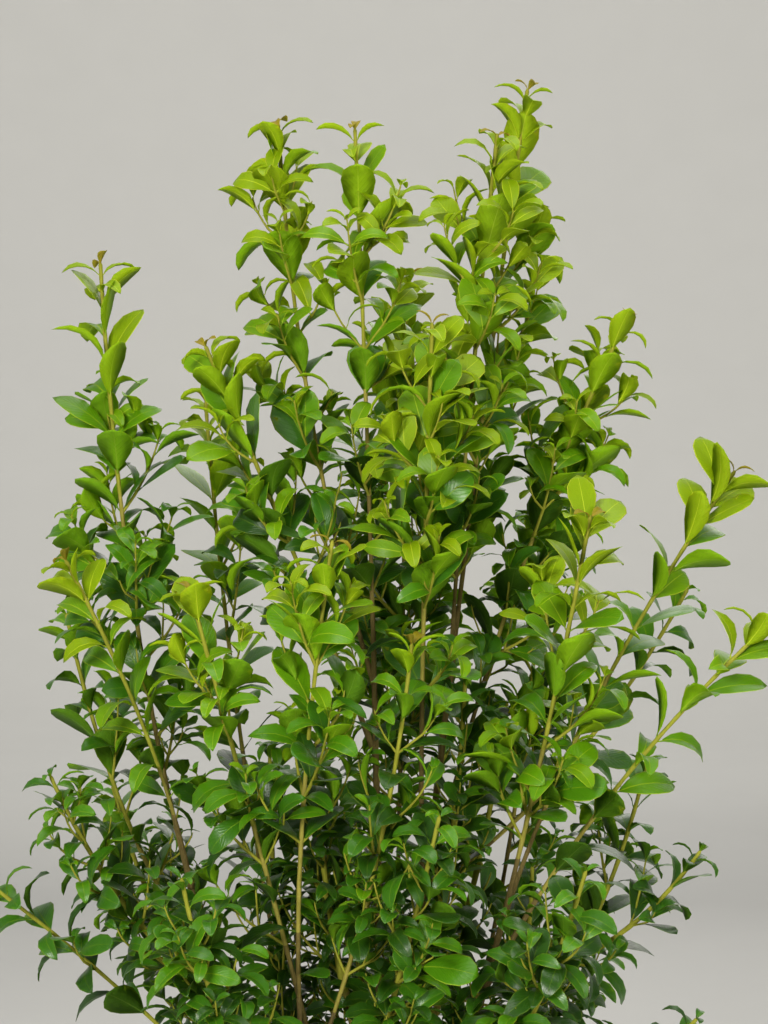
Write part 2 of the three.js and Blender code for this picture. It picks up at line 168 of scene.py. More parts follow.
SHOOTS = (
    ShootRow("centre", "", 0.86, (4, 2, 800), (-19, 0, 1309), 0.6, 5.6, 66, Flush.STRONG,
             spacing=1.25, haste=1.1, clear=95),
    ShootRow("far_left", "", 0.62, (-198, -10, 604), (-230, 10, 1199), 0.56, 5.3, 72, Flush.FAIR,
             branching=0.8, spacing=0.98, haste=1.1, clear=165, turned=0.8),
    ShootRow("tall_right", "", 0.9, (72, 26, 987), (125, 40, 1344), 0.5, 5.3, 72, Flush.STRONG,
             branching=0.95, spacing=1.15, haste=0.9, clear=120),
    ShootRow("right", "", 0.8, (14, 55, 737), (209, 60, 1149), 0.54, 5.1, 76, Flush.FAIR,
             branching=1.5, spacing=1.1, clear=60),
    ShootRow("front_right", "", 0.66, (104, -58, 612), (167, -130, 998), 0.62, 5.3, 70, Flush.STRONG,
             branching=0.8, spacing=0.62, haste=2.4, clear=110),
    ShootRow("front_left", "", 0.74, (-54, -95, 578), (-147, -140, 940), 0.46, 4.9, 74, Flush.FAIR,
             branching=0.95, spacing=1.1, haste=1.1, clear=90),
    ShootRow("front_centre", "", 0.56, (-106, -134, 500), (-35, -152, 980), 0.56, 4.9, 72, Flush.FAIR,
             branching=0.58, spacing=1.15, haste=1.1, clear=95),
    ShootRow("back_centre", "", 0.82, (22, 150, 620), (25, 185, 1190), 0.5, 5.1, 88, Flush.FAIR,
             branching=1.1),
    ShootRow("back_left", "", 0.6, (-112, 120, 560), (-152, 150, 1080), 0.5, 4.9, 84, Flush.FAIR,
             branching=0.3),
    ShootRow("back_right", "", 0.7, (122, 115, 560), (152, 165, 1020), 0.48, 4.9, 86, Flush.FAIR,
             branching=0.4, clear=60),
    ShootRow("left", "centre", 0.48, (-66, -48, 959), (-140, -50, 1131), 0.22, 0, 66, Flush.FAIR,
             spacing=1.2, haste=1.1, clear=45),
    ShootRow("centre_left", "centre", 0.54, (-67, 22, 1052), (-83, 20, 1315), 0.18, 0, 60, Flush.STRONG,
             branching=1.25, spacing=1.2, haste=1.1, clear=65),
    ShootRow("inner_right", "tall_right", 0.44, (66, -34, 1010), (97, -32, 1302), 0.2, 0, 58, Flush.STRONG,
             branching=1.2, spacing=1.2, haste=1.1),
    ShootRow("front_high", "tall_right", 0.26, (32, -66, 800), (43, -110, 1149), 0.4, 0, 66, Flush.STRONG,
             branching=0.9, spacing=1.1, haste=1.1),
    ShootRow("high_outer_right", "front_right", 0.52, (151, -26, 819), (295, -10, 1027), 0.24, 0, 60,
             Flush.STRONG, branching=0.0, spacing=0.85, haste=2.2, turned=0.7),
    ShootRow("outer_right", "front_right", 0.46, (172, -68, 770), (314, -62, 902), 0.24, 0, 62, Flush.STRONG,
             branching=0.0, spacing=0.85, haste=2.2),
    ShootRow("outer_left", "far_left", 0.5, (-172, -52, 800), (-251, -80, 959), 0.26, 0, 62, Flush.STRONG,
             branching=0.3, spacing=0.9, haste=1.1),
    ShootRow("side_left_back", "far_left", 0.42, (-222, 60, 690), (-268, 78, 900), 0.2, 0, 76, Flush.NONE,
             branching=0.55, clear=45),
    ShootRow("side_right_back", "right", 0.42, (170, 92, 740), (268, 96, 920), 0.22, 0, 76, Flush.NONE,
             branching=0.0),
    ShootRow("low_left", "far_left", 0.38, (-213, -52, 655), (-268, -50, 780), 0, 0, 70, Flush.NONE,
             branching=1.5, clear=35),
    ShootRow("lowest_left", "far_left", 0.22, (-190, -70, 600), (-311, -70, 690), 0.2, 0, 78, Flush.NONE,
             branching=0.35, spacing=0.9, haste=2.0),
    ShootRow("front_mid", "front_centre", 0.44, (6, -142, 700), (27, -150, 900), 0.2, 0, 66, Flush.SLIGHT,
             branching=0.8),
    ShootRow("low_front", "front_centre", 0.28, (4, -130, 560), (48, -180, 769), 0, 0, 78, Flush.NONE,
             branching=1.5, clear=50),
    ShootRow("low_front_left", "front_centre", 0.22, (-120, -170, 550), (-150, -205, 725), 0, 0, 82,
             Flush.NONE, branching=1.8, clear=50),
    ShootRow("low_front_right", "front_right", 0.28, (118, -150, 560), (160, -200, 730), 0, 0, 82, Flush.NONE,
             branching=1.2, clear=50),
    ShootRow("low_right", "right", 0.3, (190, 0, 590), (268, -18, 712), 0, 0, 76, Flush.NONE, branching=0.5),
    ShootRow("lowest_right", "front_right", 0.2, (170, -70, 490), (258, -96, 590), 0, 0, 74, Flush.NONE,
             branching=0.8),
    ShootRow("low_back_left", "back_left", 0.3, (-190, 120, 560), (-236, 150, 740), 0, 0, 88, Flush.NONE),
    ShootRow("low_back_right", "back_right", 0.3, (190, 120, 560), (238, 150, 760), 0, 0, 88, Flush.NONE,
             branching=0.6),
    ShootRow("low_back", "back_centre", 0.28, (0, 200, 540), (-12, 246, 745), 0, 0, 92, Flush.NONE),
    ShootRow("inner_left", "far_left", 0.15, (-88, 24, 520), (-92, 40, 790), 0, 0, 72, Flush.NONE,
             branching=2.2, clear=25),
    ShootRow("inner_front", "centre", 0.18, (-40, -40, 600), (-52, -50, 790), 0, 0, 70, Flush.NONE,
             branching=1.6, clear=40),
    ShootRow("inner_middle", "tall_right", 0.18, (64, -10, 660), (72, -30, 860), 0, 0, 72, Flush.NONE,
             branching=1.2, clear=50),
    ShootRow("inner_low_right", "front_right", 0.26, (124, -16, 500), (128, -22, 700), 0, 0, 72, Flush.NONE,
             branching=1.4, clear=35),
    ShootRow("inner_back_right", "right", 0.2, (82, 92, 600), (112, 98, 820), 0, 0, 76, Flush.NONE),
    ShootRow("inner_back", "back_centre", 0.18, (-20, 110, 600), (-50, 110, 800), 0, 0, 76, Flush.NONE),
)


# Small helpers and paths


def chance(seed: float, node: float, use: float) -> float:
    """A number from 0 to 1 that is always the same for the same arguments.

    Args:
        seed: The shoot's or twig's own number.
        node: The place along it.
        use: What the number is for.

    Returns:
        The seeded number.
    """
    x = math.sin(seed * 127.1 + node * 311.7 + use * 74.7) * 43758.5453
    return x - math.floor(x)


def mix(a: float, b: float, share: float) -> float:
    """The value at a share of the way from a to b."""
    return a + (b - a) * share


def unit(v: np.ndarray) -> np.ndarray:
    """The vector at length one."""
    return v / max(float(np.linalg.norm(v)), 1e-9)


@dataclass(frozen=True)
class Span:
    """A stretch of heights or lengths, in millimetres, over which something changes."""

    start: float
    length: float

    def share(self, value: float) -> float:
        """How far along the stretch a value is, from 0 to 1."""
        return min(1.0, max(0.0, (value - self.start) / self.length))


def trunk_axis(share: float) -> np.ndarray:
    """The middle of the trunk.

    Args:
        share: The share of the trunk's height.

    Returns:
        The point, in millimetres.
    """
    bend = share * share
    height = POT.soil_top + TOUCH + share * TRUNK.height
    return np.array([TRUNK.lean[0] * bend, TRUNK.lean[1] * bend, height])


class Path:
    """A quadratic curve with a fixed horizontal direction across it, in millimetres."""

    SHARES = np.linspace(0, 1, 101)

    def __init__(self, start: np.ndarray, elbow: np.ndarray, tip: np.ndarray) -> None:
        """Measures the curve.

        Args:
            start: Where it starts.
            elbow: Its middle control point.
            tip: Where it ends.
        """
        self.start, self.elbow, self.tip = start, elbow, tip
        across = np.cross(UP, tip - start)
        self.across = unit(across) if across @ across > 1 else np.array([0.0, 1.0, 0.0])
        shares = self.SHARES[:, None]
        steps = (1 - shares) ** 2 * start + 2 * shares * (1 - shares) * elbow + shares**2 * tip
        lengths = np.linalg.norm(np.diff(steps, axis=0), axis=1)
        self._lengths = np.concatenate([[0.0], np.cumsum(lengths)])
        self.length = float(self._lengths[-1])

    def point(self, t: float) -> np.ndarray:
        """The point at share t of the curve."""
        s = 1 - t
        return s * s * self.start + 2 * s * t * self.elbow + t * t * self.tip

    def frame(self, t: float) -> tuple[np.ndarray, np.ndarray, np.ndarray]:
        """The curve's directions at a place.

        Args:
            t: The share of the curve.

        Returns:
            The tangent, and two directions square to it.
        """
        along = unit((1 - t) * (self.elbow - self.start) + t * (self.tip - self.elbow))
        u = unit(self.across - along * (self.across @ along))
        return along, u, np.cross(along, u)

    def length_at(self, t: float) -> float:
        """The length from the start to share t of the curve."""
        return float(np.interp(t, self.SHARES, self._lengths))

    def share_below_tip(self, distance: float) -> float:
        """The curve's share at a length measured back from its tip."""
        wanted = max(0.0, self.length - distance)
        return float(np.interp(wanted, self._lengths, self.SHARES))


@dataclass
class Shoot:
    """A shoot laid out: its row, its path, its foot's radius and its own seed."""

    row: ShootRow
    path: Path
    radius: float
    seed: int

    @property
    def tip_radius(self) -> float:
        """The radius where the bough ends and the mass's stem goes on."""
        return min(LIMB_TIP_RADIUS, MOST_TIP_SHARE * self.radius)

    def bough_radius(self, t: float) -> float:
        """The bough's radius at a share of the shoot's curve."""
        return mix(self.radius, self.tip_radius, t / self.row.bare)

    def stem_radius(self, t: float) -> float:
        """The radius of the mass's stem at a share of the shoot's curve."""
        foot = STEM_SLIM * self.tip_radius if self.row.bare else self.radius
        return mix(foot, STEM_TIP_RADIUS, ((t - self.row.bare) / (1 - self.row.bare)) ** 1.3)


def laid_out() -> dict[str, Shoot]:
    """Lays out every shoot, parents first.

    Returns:
        The shoots by name.
    """
    shoots: dict[str, Shoot] = {}
    for index, row in enumerate(SHOOTS):
        parent = shoots.get(row.parent)
        start = parent.path.point(row.at) if parent else trunk_axis(row.at)
        radius = row.radius or SIDE_SHARE * parent.bough_radius(row.at)
        path = Path(start, np.array(row.elbow, float), np.array(row.tip, float))
        shoots[row.name] = Shoot(row, path, radius, index + 1)
    return shoots


class Lengths:
    """Straight lengths along stems or limbs, each with a value and its shoot's number."""

    def __init__(self, rows: Iterable[tuple[np.ndarray, np.ndarray, float, int]]) -> None:
        """Takes each length's start, end, value and shoot.

        Args:
            rows: The lengths.
        """
        starts, ends, values, owners = zip(*rows)
        self.starts, self.ends = np.array(starts), np.array(ends)
        self.values, self.owners = np.array(values), np.array(owners)

    def distances(self, points: np.ndarray) -> np.ndarray:
        """Measures from every point to every length.

        Args:
            points: The points.

        Returns:
            The distances, a row for each point.
        """
        way = self.ends - self.starts
        square = np.maximum((way * way).sum(axis=1), 1e-9)
        offset = points[:, None, :] - self.starts[None, :, :]
        share = np.clip((offset * way).sum(axis=2) / square, 0, 1)
        return np.linalg.norm(offset - share[:, :, None] * way, axis=2)


class Spaces:
    """The spaces that the masses of foliage keep to, and the limbs that they keep clear of."""

    MASS_LENGTHS = 8
    LIMB_LENGTHS = 24
    # How much nearer to another mass a point may be, as a share of their reaches
    LEEWAY = 1.12

    def __init__(self, shoots: dict[str, Shoot]) -> None:
        """Gathers the lengths along every mass's stem, with its reach, and along every limb.

        Args:
            shoots: The shoots by name.
        """
        masses, limbs = [], []
        for number, shoot in enumerate(shoots.values()):
            path, row, last = shoot.path, shoot.row, self.MASS_LENGTHS - 1
            points = [path.point(mix(row.bare, 1, i / self.MASS_LENGTHS)) for i in range(last + 2)]
            for i, (start, end) in enumerate(zip(points, points[1:])):
                masses.append((start, end, row.reach * mix(*REACHES, i / last), number))
            shares = np.linspace(0, 1, self.LIMB_LENGTHS + 1)
            for a, b in zip(shares, shares[1:]):
                radius = shoot.bough_radius(a) if a < row.bare else shoot.stem_radius(a)
                limbs.append((path.point(a), path.point(b), radius, number))
        self.masses, self.limbs = Lengths(masses), Lengths(limbs)

    def owns(self, number: int, points: np.ndarray) -> bool:
        """Whether every point lies in a mass's own space.

        Args:
            number: The mass's number.
            points: The points to test.

        Returns:
            True if all the points are within reach and nearer to it than to another mass.
        """
        shares = self.masses.distances(points) / self.masses.values
        own = shares[:, self.masses.owners == number].min(axis=1)
        others = shares[:, self.masses.owners != number].min(axis=1)
        return bool((own <= 1).all() and (own <= others * self.LEEWAY).all())

    def clear_of_limbs(self, number: int, points: np.ndarray, gap: float) -> bool:
        """Whether points keep a gap from every limb that belongs to another shoot."""
        away = self.limbs.distances(points) - self.limbs.values
        return bool((away[:, self.limbs.owners != number] > gap).all())


# Leaf shapes and growth


class Tint(Enum):
    """The plain colours that are dealt out to leaves, from the newest and most lit to the most shaded, partly
    by age and partly as painted light and shade.
    """

    BRONZE = "bronze"
    FLUSH = "flush"
    YOUNG = "young"
    FRESH = "fresh"
    MATURE = "mature"
    DEEP = "deep"
    SHADE = "shade"


class Wood(Enum):
    """The ages of the stems and twigs."""

    GREEN = "green"
    TAN = "tan"
    BROWN = "brown"


@dataclass(frozen=True)
class LeafShape:
    """One leaf for a leaf length of one: x across, y from root to tip, z out of the upper face.

    Attributes:
        width: Across the blade at its widest.
        petiole: The leaf stalk's length.
        lift: How far the blade first rises, in radians.
        recurve: How far it has bent back at its tip, in radians.
        fold: How steeply the halves rise from the midrib.
        curl: How much the margins bend back from that fold.
        twist: How far the blade turns about its midrib by the tip, in radians.
        sway: How far the midrib bends sideways by the tip.
        wave: How far the margins go up and down.
        thickness: At the midrib.
        rib: The midrib's width at the blade's foot.
        rim: The pale margin's share of a half.
        point: From 0 for a round tip to 1 for a pointed one.
    """

    width: float = 0.5
    petiole: float = 0.08
    lift: float = 0.22
    recurve: float = 0.9
    fold: float = 0.3
    curl: float = 0.12
    twist: float = 0.0
    sway: float = 0.0
    wave: float = 0.006
    thickness: float = 0.009
    rib: float = 0.019
    # rim: The margin's share of a half that is painted pale, as a painted edge highlight.
    rim: float = 0.07
    point: float = 0.0

    SHARES: ClassVar = (0.07, 0.2, 0.38, 0.58, 0.78, 0.92)
    ROUND: ClassVar = (0.18, 0.46, 0.8, 1.0, 0.93, 0.56)
    POINTED: ClassVar = (0.2, 0.54, 0.9, 0.98, 0.72, 0.34)
    STEPS: ClassVar = 14
    STALK: ClassVar = (0.017, 0.012)
    TIP: ClassVar = (0, 0.008, -0.003)

    def _spine(self, share: float) -> tuple[np.ndarray, np.ndarray]:
        """Follows the midrib.

        Args:
            share: The share of the blade.

        Returns:
            The midrib's place there, and the direction of the upper face.
        """
        step = share * (1 - self.petiole) / self.STEPS
        along, up = self.petiole, 0.0
        angle = self.lift
        for i in range(self.STEPS):
            angle = self.lift - self.recurve * share * (i + 0.5) / self.STEPS
            along += math.cos(angle) * step
            up += math.sin(angle) * step
        middle = np.array([self.sway * share * share, along, up])
        return middle, np.array([0.0, -math.sin(angle), math.cos(angle)])

    def _at(self, share: float, column: float, half: float, under: bool) -> np.ndarray:
        """Finds a point of the blade.

        Args:
            share: The share of the blade's length.
            column: From -1 at one margin to 1 at the other.
            half: Half the blade's width there.
            under: Whether it is on the underside.

        Returns:
            The point.
        """
        middle, face = self._spine(share)
        roll = self.twist * share
        across = np.array([math.cos(roll), 0.0, math.sin(roll)])
        out = abs(column)
        rise = half * (self.fold * out - self.curl * out * out)
        rise += self.wave * out * math.sin(9 * share + (2 if column > 0 else 0))
        thin = self.thickness * (1 - out) / 2
        return middle + across * column * half + face * (rise - thin if under else rise + thin)

    def mesh(self, name: str) -> Mesh:
        """Makes the leaf's closed mesh, with its parts numbered in the face attribute part.

        Args:
            name: The mesh's name.

        Returns:
            The mesh: part 0 is the upper face, 1 the midrib, the margin, painted pale as an edge highlight,
                and the stalk, 2 the underside.
        """
        draft = Draft()
        root = draft.put(self._spine(0)[0], 0.5, 0)
        tip = draft.put(self._spine(1.0)[0] + np.array(self.TIP), 0.5, 1)
        tops, unders = [], []
        for share, blunt, sharp in zip(self.SHARES, self.ROUND, self.POINTED):
            half = self.width / 2 * mix(blunt, sharp, self.point)
            rib = self.rib / 2 * (1.2 - share) / half
            columns = (-1, self.rim - 1, -0.5, -rib, rib, 0.5, 1 - self.rim, 1)
            top = [draft.put(self._at(share, c, half, False), 0.5 + c / 2, share) for c in columns]
            ribs = [draft.put(self._at(share, c, half, True), 0.5 + c / 2, share) for c in (-rib, rib)]
            tops.append(top)
            unders.append([top[0], *ribs, top[-1]])
        # The margin strips are part 1, in the rib's paler colour: a painted edge highlight
        draft.skin(root, tops, tip, (1, 0, 0, 1, 0, 0, 1))
        draft.skin(root, [row[::-1] for row in unders], tip, (2, 1, 2))
        self._add_stalk(draft)
        return draft.mesh(name)

    def _add_stalk(self, draft: "Draft") -> None:
        """Adds the three-sided leaf stalk, from inside the twig to inside the blade.

        Args:
            draft: The leaf's mesh in the making.
        """
        end, _ = self._spine(self.SHARES[0])
        rings = []
        for place, radius in zip((np.zeros(3), end), self.STALK):
            angles = [math.pi / 2 + i * 2 * math.pi / 3 for i in range(3)]
            corners = [place + radius * np.array([math.cos(a), 0, math.sin(a)]) for a in angles]
            rings.append([draft.put(p, 0.5, 0.0) for p in corners])
        low, high = rings
        for i in range(3):
            j = (i + 1) % 3
            draft.face(1, low[i], high[i], high[j], low[j])
        draft.face(1, *low)
        draft.face(1, *reversed(high))


@dataclass
class Draft:
    """A mesh in the making, whose faces are numbered by the part that they belong to."""

    points: list[np.ndarray] = field(default_factory=list)
    coords: list[tuple[float, float]] = field(default_factory=list)
    faces: list[tuple[int, ...]] = field(default_factory=list)
    parts: list[int] = field(default_factory=list)

    def put(self, point: np.ndarray, u: float, v: float) -> int:
        """Adds a point.

        Args:
            point: Where it is.
            u: Its place across the leaf.
            v: Its place along the leaf.

        Returns:
            Its number.
        """
        self.points.append(point)
        self.coords.append((u, v))
        return len(self.points) - 1

    def face(self, part: int, *corners: int) -> None:
        """Adds a face with its part's number and its corners."""
        self.faces.append(corners)
        self.parts.append(part)

    def skin(self, root: int, rows: list[list[int]], tip: int, parts: Sequence[int]) -> None:
        """Covers one side of a blade with faces.

        Args:
            root: The blade's first point.
            rows: Its rows of points from root to tip.
            tip: Its last point.
            parts: The part of each strip between two columns.
        """
        for i, part in enumerate(parts):
            self.face(part, root, rows[0][i + 1], rows[0][i])
            for lower, upper in zip(rows, rows[1:]):
                self.face(part, lower[i], lower[i + 1], upper[i + 1], upper[i])
            self.face(part, rows[-1][i], rows[-1][i + 1], tip)

    def mesh(self, name: str) -> Mesh:
        """Makes the mesh.

        Args:
            name: The mesh's name.

        Returns:
            The mesh, with the UV map leaf and the face attribute part.
        """
        mesh = solid(name, self.points, self.faces)
        layer = mesh.uv_layers.new(name="leaf")
        for loop in mesh.loops:
            layer.data[loop.index].uv = self.coords[loop.vertex_index]
        mesh.attributes.new("part", "INT", "FACE").data.foreach_set("value", self.parts)
        mesh.update()
        return mesh


BROAD_SHAPES = (
    LeafShape(width=0.56, lift=0.22, recurve=0.7, fold=0.14),
    LeafShape(width=0.55, lift=0.26, recurve=0.9, fold=0.2, twist=0.2, sway=0.03, point=0.1),
    LeafShape(width=0.54, lift=0.14, recurve=0.35, fold=0.1, curl=0.08, twist=-0.18),
    LeafShape(width=0.52, lift=0.3, recurve=1.0, fold=0.18, curl=0.16, sway=-0.04, point=0.3),
    LeafShape(width=0.5, lift=0.16, recurve=0.6, fold=0.28, twist=0.12, sway=0.05, point=0.3),
    LeafShape(width=0.54, lift=0.24, recurve=0.85, fold=0.1, curl=0.1, twist=-0.28, point=0.1),
    LeafShape(width=0.58, lift=0.1, recurve=0.3, fold=0.12, curl=0.06, wave=0.014),
    LeafShape(width=0.5, lift=0.34, recurve=1.2, fold=0.22, curl=0.14, twist=0.16, sway=-0.03, point=0.4),
)
NARROW_SHAPES = (
    LeafShape(width=0.38, lift=0.46, recurve=1.8, fold=0.4, twist=-0.1, point=0.7),
    LeafShape(width=0.34, lift=0.4, recurve=1.5, fold=0.3, curl=0.1, twist=0.3, point=0.9),
    LeafShape(width=0.41, lift=0.5, recurve=2.0, fold=0.32, sway=0.04, point=0.5),
    LeafShape(width=0.35, lift=0.42, recurve=1.5, fold=0.5, twist=-0.25, sway=-0.03, point=0.9),
    LeafShape(width=0.38, lift=0.46, recurve=1.9, fold=0.2, curl=0.14, wave=0.012, point=0.6),
    LeafShape(width=0.33, lift=0.55, recurve=2.2, fold=0.4, twist=0.15, sway=0.05, point=0.8),
)
YOUNG_SHAPES = (
    LeafShape(width=0.42, lift=0.2, recurve=1.3, fold=0.45, curl=0.1, thickness=0.014, point=0.4),
    LeafShape(width=0.44, lift=0.15, recurve=1.6, fold=0.4, twist=0.15, thickness=0.013, point=0.6),
    LeafShape(width=0.38, lift=0.3, recurve=2.1, fold=0.5, sway=0.04, thickness=0.014, point=0.7),
)
LEAF_SHAPES = BROAD_SHAPES + NARROW_SHAPES + YOUNG_SHAPES


@dataclass
class LeafSpot:
    """Where one leaf grows, in millimetres."""

    root: np.ndarray
    axis: np.ndarray
    face: np.ndarray
    length: float
    shape: int
    tint: Tint


@dataclass
class TwigRun:
    """One stretch of a stem or twig: its points, in millimetres, and its radii there."""

    wood: Wood
    points: list[np.ndarray] = field(default_factory=list)
    radii: list[float] = field(default_factory=list)

    def add(self, point: np.ndarray, radius: float) -> None:
        """Adds a point."""
        self.points.append(point)
        self.radii.append(radius)


@dataclass(frozen=True)
class Habit:
    """How leaves stand along one order of stem, in millimetres and degrees.

    Attributes:
        internode: Between leaf pairs on its old part.
        first_internode: Between its two topmost pairs.
        young_nodes: How many nodes it takes for leaves to be full grown.
        leaf_length: Of a full-grown leaf.
        young_size: The top leaves' share of that.
        angles: Off the stem, for a young leaf and an old one.
        side_share: Of what is above a side twig, as that twig's length.
        bare_tip: No side twigs nearer to the tip than this.
        most: No side twig is longer than this share of the mass's reach.
    """

    internode: float
    first_internode: float
    young_nodes: int
    leaf_length: float
    young_size: float
    angles: tuple[float, float]
    side_share: float
    bare_tip: float
    most: float


STEM = Habit(32, 12, 5, 57, 0.34, (26, 40), 0.6, 70, 1.15)
TWIG = Habit(26, 9, 4, 54, 0.34, (28, 44), 0.5, 42, 0.6)
SPUR = Habit(23, 9, 3, 49, 0.44, (30, 48), 0.0, 0, 0.0)


class Clearings:
    """A grid that keeps the blades of leaves from standing in each other."""

    CELL = 22.0

    def __init__(self) -> None:
        """Starts with no leaf."""
        self.held: dict[tuple[int, int, int], list[tuple[np.ndarray, float]]] = {}

    def _cell(self, point: np.ndarray) -> tuple[int, int, int]:
        """The grid cell that a point is in."""
        return tuple(int(math.floor(c / self.CELL)) for c in point)

    def free(self, middle: np.ndarray, room: float) -> bool:
        """Whether no leaf's middle is nearer than the mean of both leaves' room.

        Args:
            middle: The new leaf's middle.
            room: The room that it takes.

        Returns:
            True if there is room for it.
        """
        return not any(
            float(((other - middle) ** 2).sum()) < (0.5 * (room + other_room)) ** 2
            for cell in product(*((c - 1, c, c + 1) for c in self._cell(middle)))
            for other, other_room in self.held.get(cell, ())
        )

    def add(self, middle: np.ndarray, room: float) -> None:
        """Holds a leaf's middle and the room that it takes."""
        self.held.setdefault(self._cell(middle), []).append((middle, room))


@dataclass
class Sprig:
    """A stem or twig that carries leaves.

    Attributes:
        path: Its path.
        start: The share of its path where its leaves may start.
        shoot: The shoot that it belongs to.
        number: That shoot's number.
        seed: Its own seed.
        habit: How its leaves stand.
        first_age: The number of its topmost node.
        foot: How long its bare foot is.
    """

    path: Path
    start: float
    shoot: Shoot
    number: int
    seed: float
    habit: Habit
    first_age: int
    foot: float

    TOP_ROOM: ClassVar = 3.0
    TOP_STEP: ClassVar = 0.8
    VIGOUR: ClassVar = (0.8, 1.05)
    HIGH: ClassVar = Span(600, 400)

    def nodes(self, extra: float = 0.0) -> list[tuple[int, float]]:
        """Node numbers and their lengths back from the tip: close at the tip, then even.

        Args:
            extra: How far the nodes go on below the start.

        Returns:
            The nodes from the tip down.
        """
        nodes = []
        distance, k = self.TOP_ROOM, self.first_age
        end = self.path.length - self.path.length_at(self.start) - self.foot + extra
        while distance < end:
            nodes.append((k, distance))
            share = min(1.0, k / (self.habit.young_nodes + 1)) ** 1.2
            step = mix(self.habit.first_internode, self.habit.internode, share)
            if self.habit is not STEM:
                step *= self.vigour
            else:
                step *= self.shoot.row.spacing if k else self.TOP_STEP
            distance += step
            k += 1
        return nodes

    @property
    def vigour(self) -> float:
        """How far apart a twig's leaves stand: closer on the low twigs than on the high ones."""
        return mix(*self.VIGOUR, self.HIGH.share(self.path.tip[2]))

    def axil(self, k: int, distance: float, side: int) -> tuple[np.ndarray, np.ndarray, np.ndarray]:
        """Finds where one leaf of a pair stands: each pair is a quarter turn from the last.

        Args:
            k: The node's number.
            distance: Its length back from the tip.
            side: -1 or 1, for the two leaves of the pair.

        Returns:
            The place, the stem's direction there, and the direction out to that side.
        """
        t = self.path.share_below_tip(distance)
        along, u, v = self.path.frame(t)
        drift = (chance(self.seed, 0, 31) - 0.5) * (0.7 + 0.14 * k)
        turn = k * math.pi / 2 + self.shoot.row.turned + drift + (chance(self.seed, k, 1) - 0.5) * 0.5
        return self.path.point(t), along, (u * math.cos(turn) + v * math.sin(turn)) * side


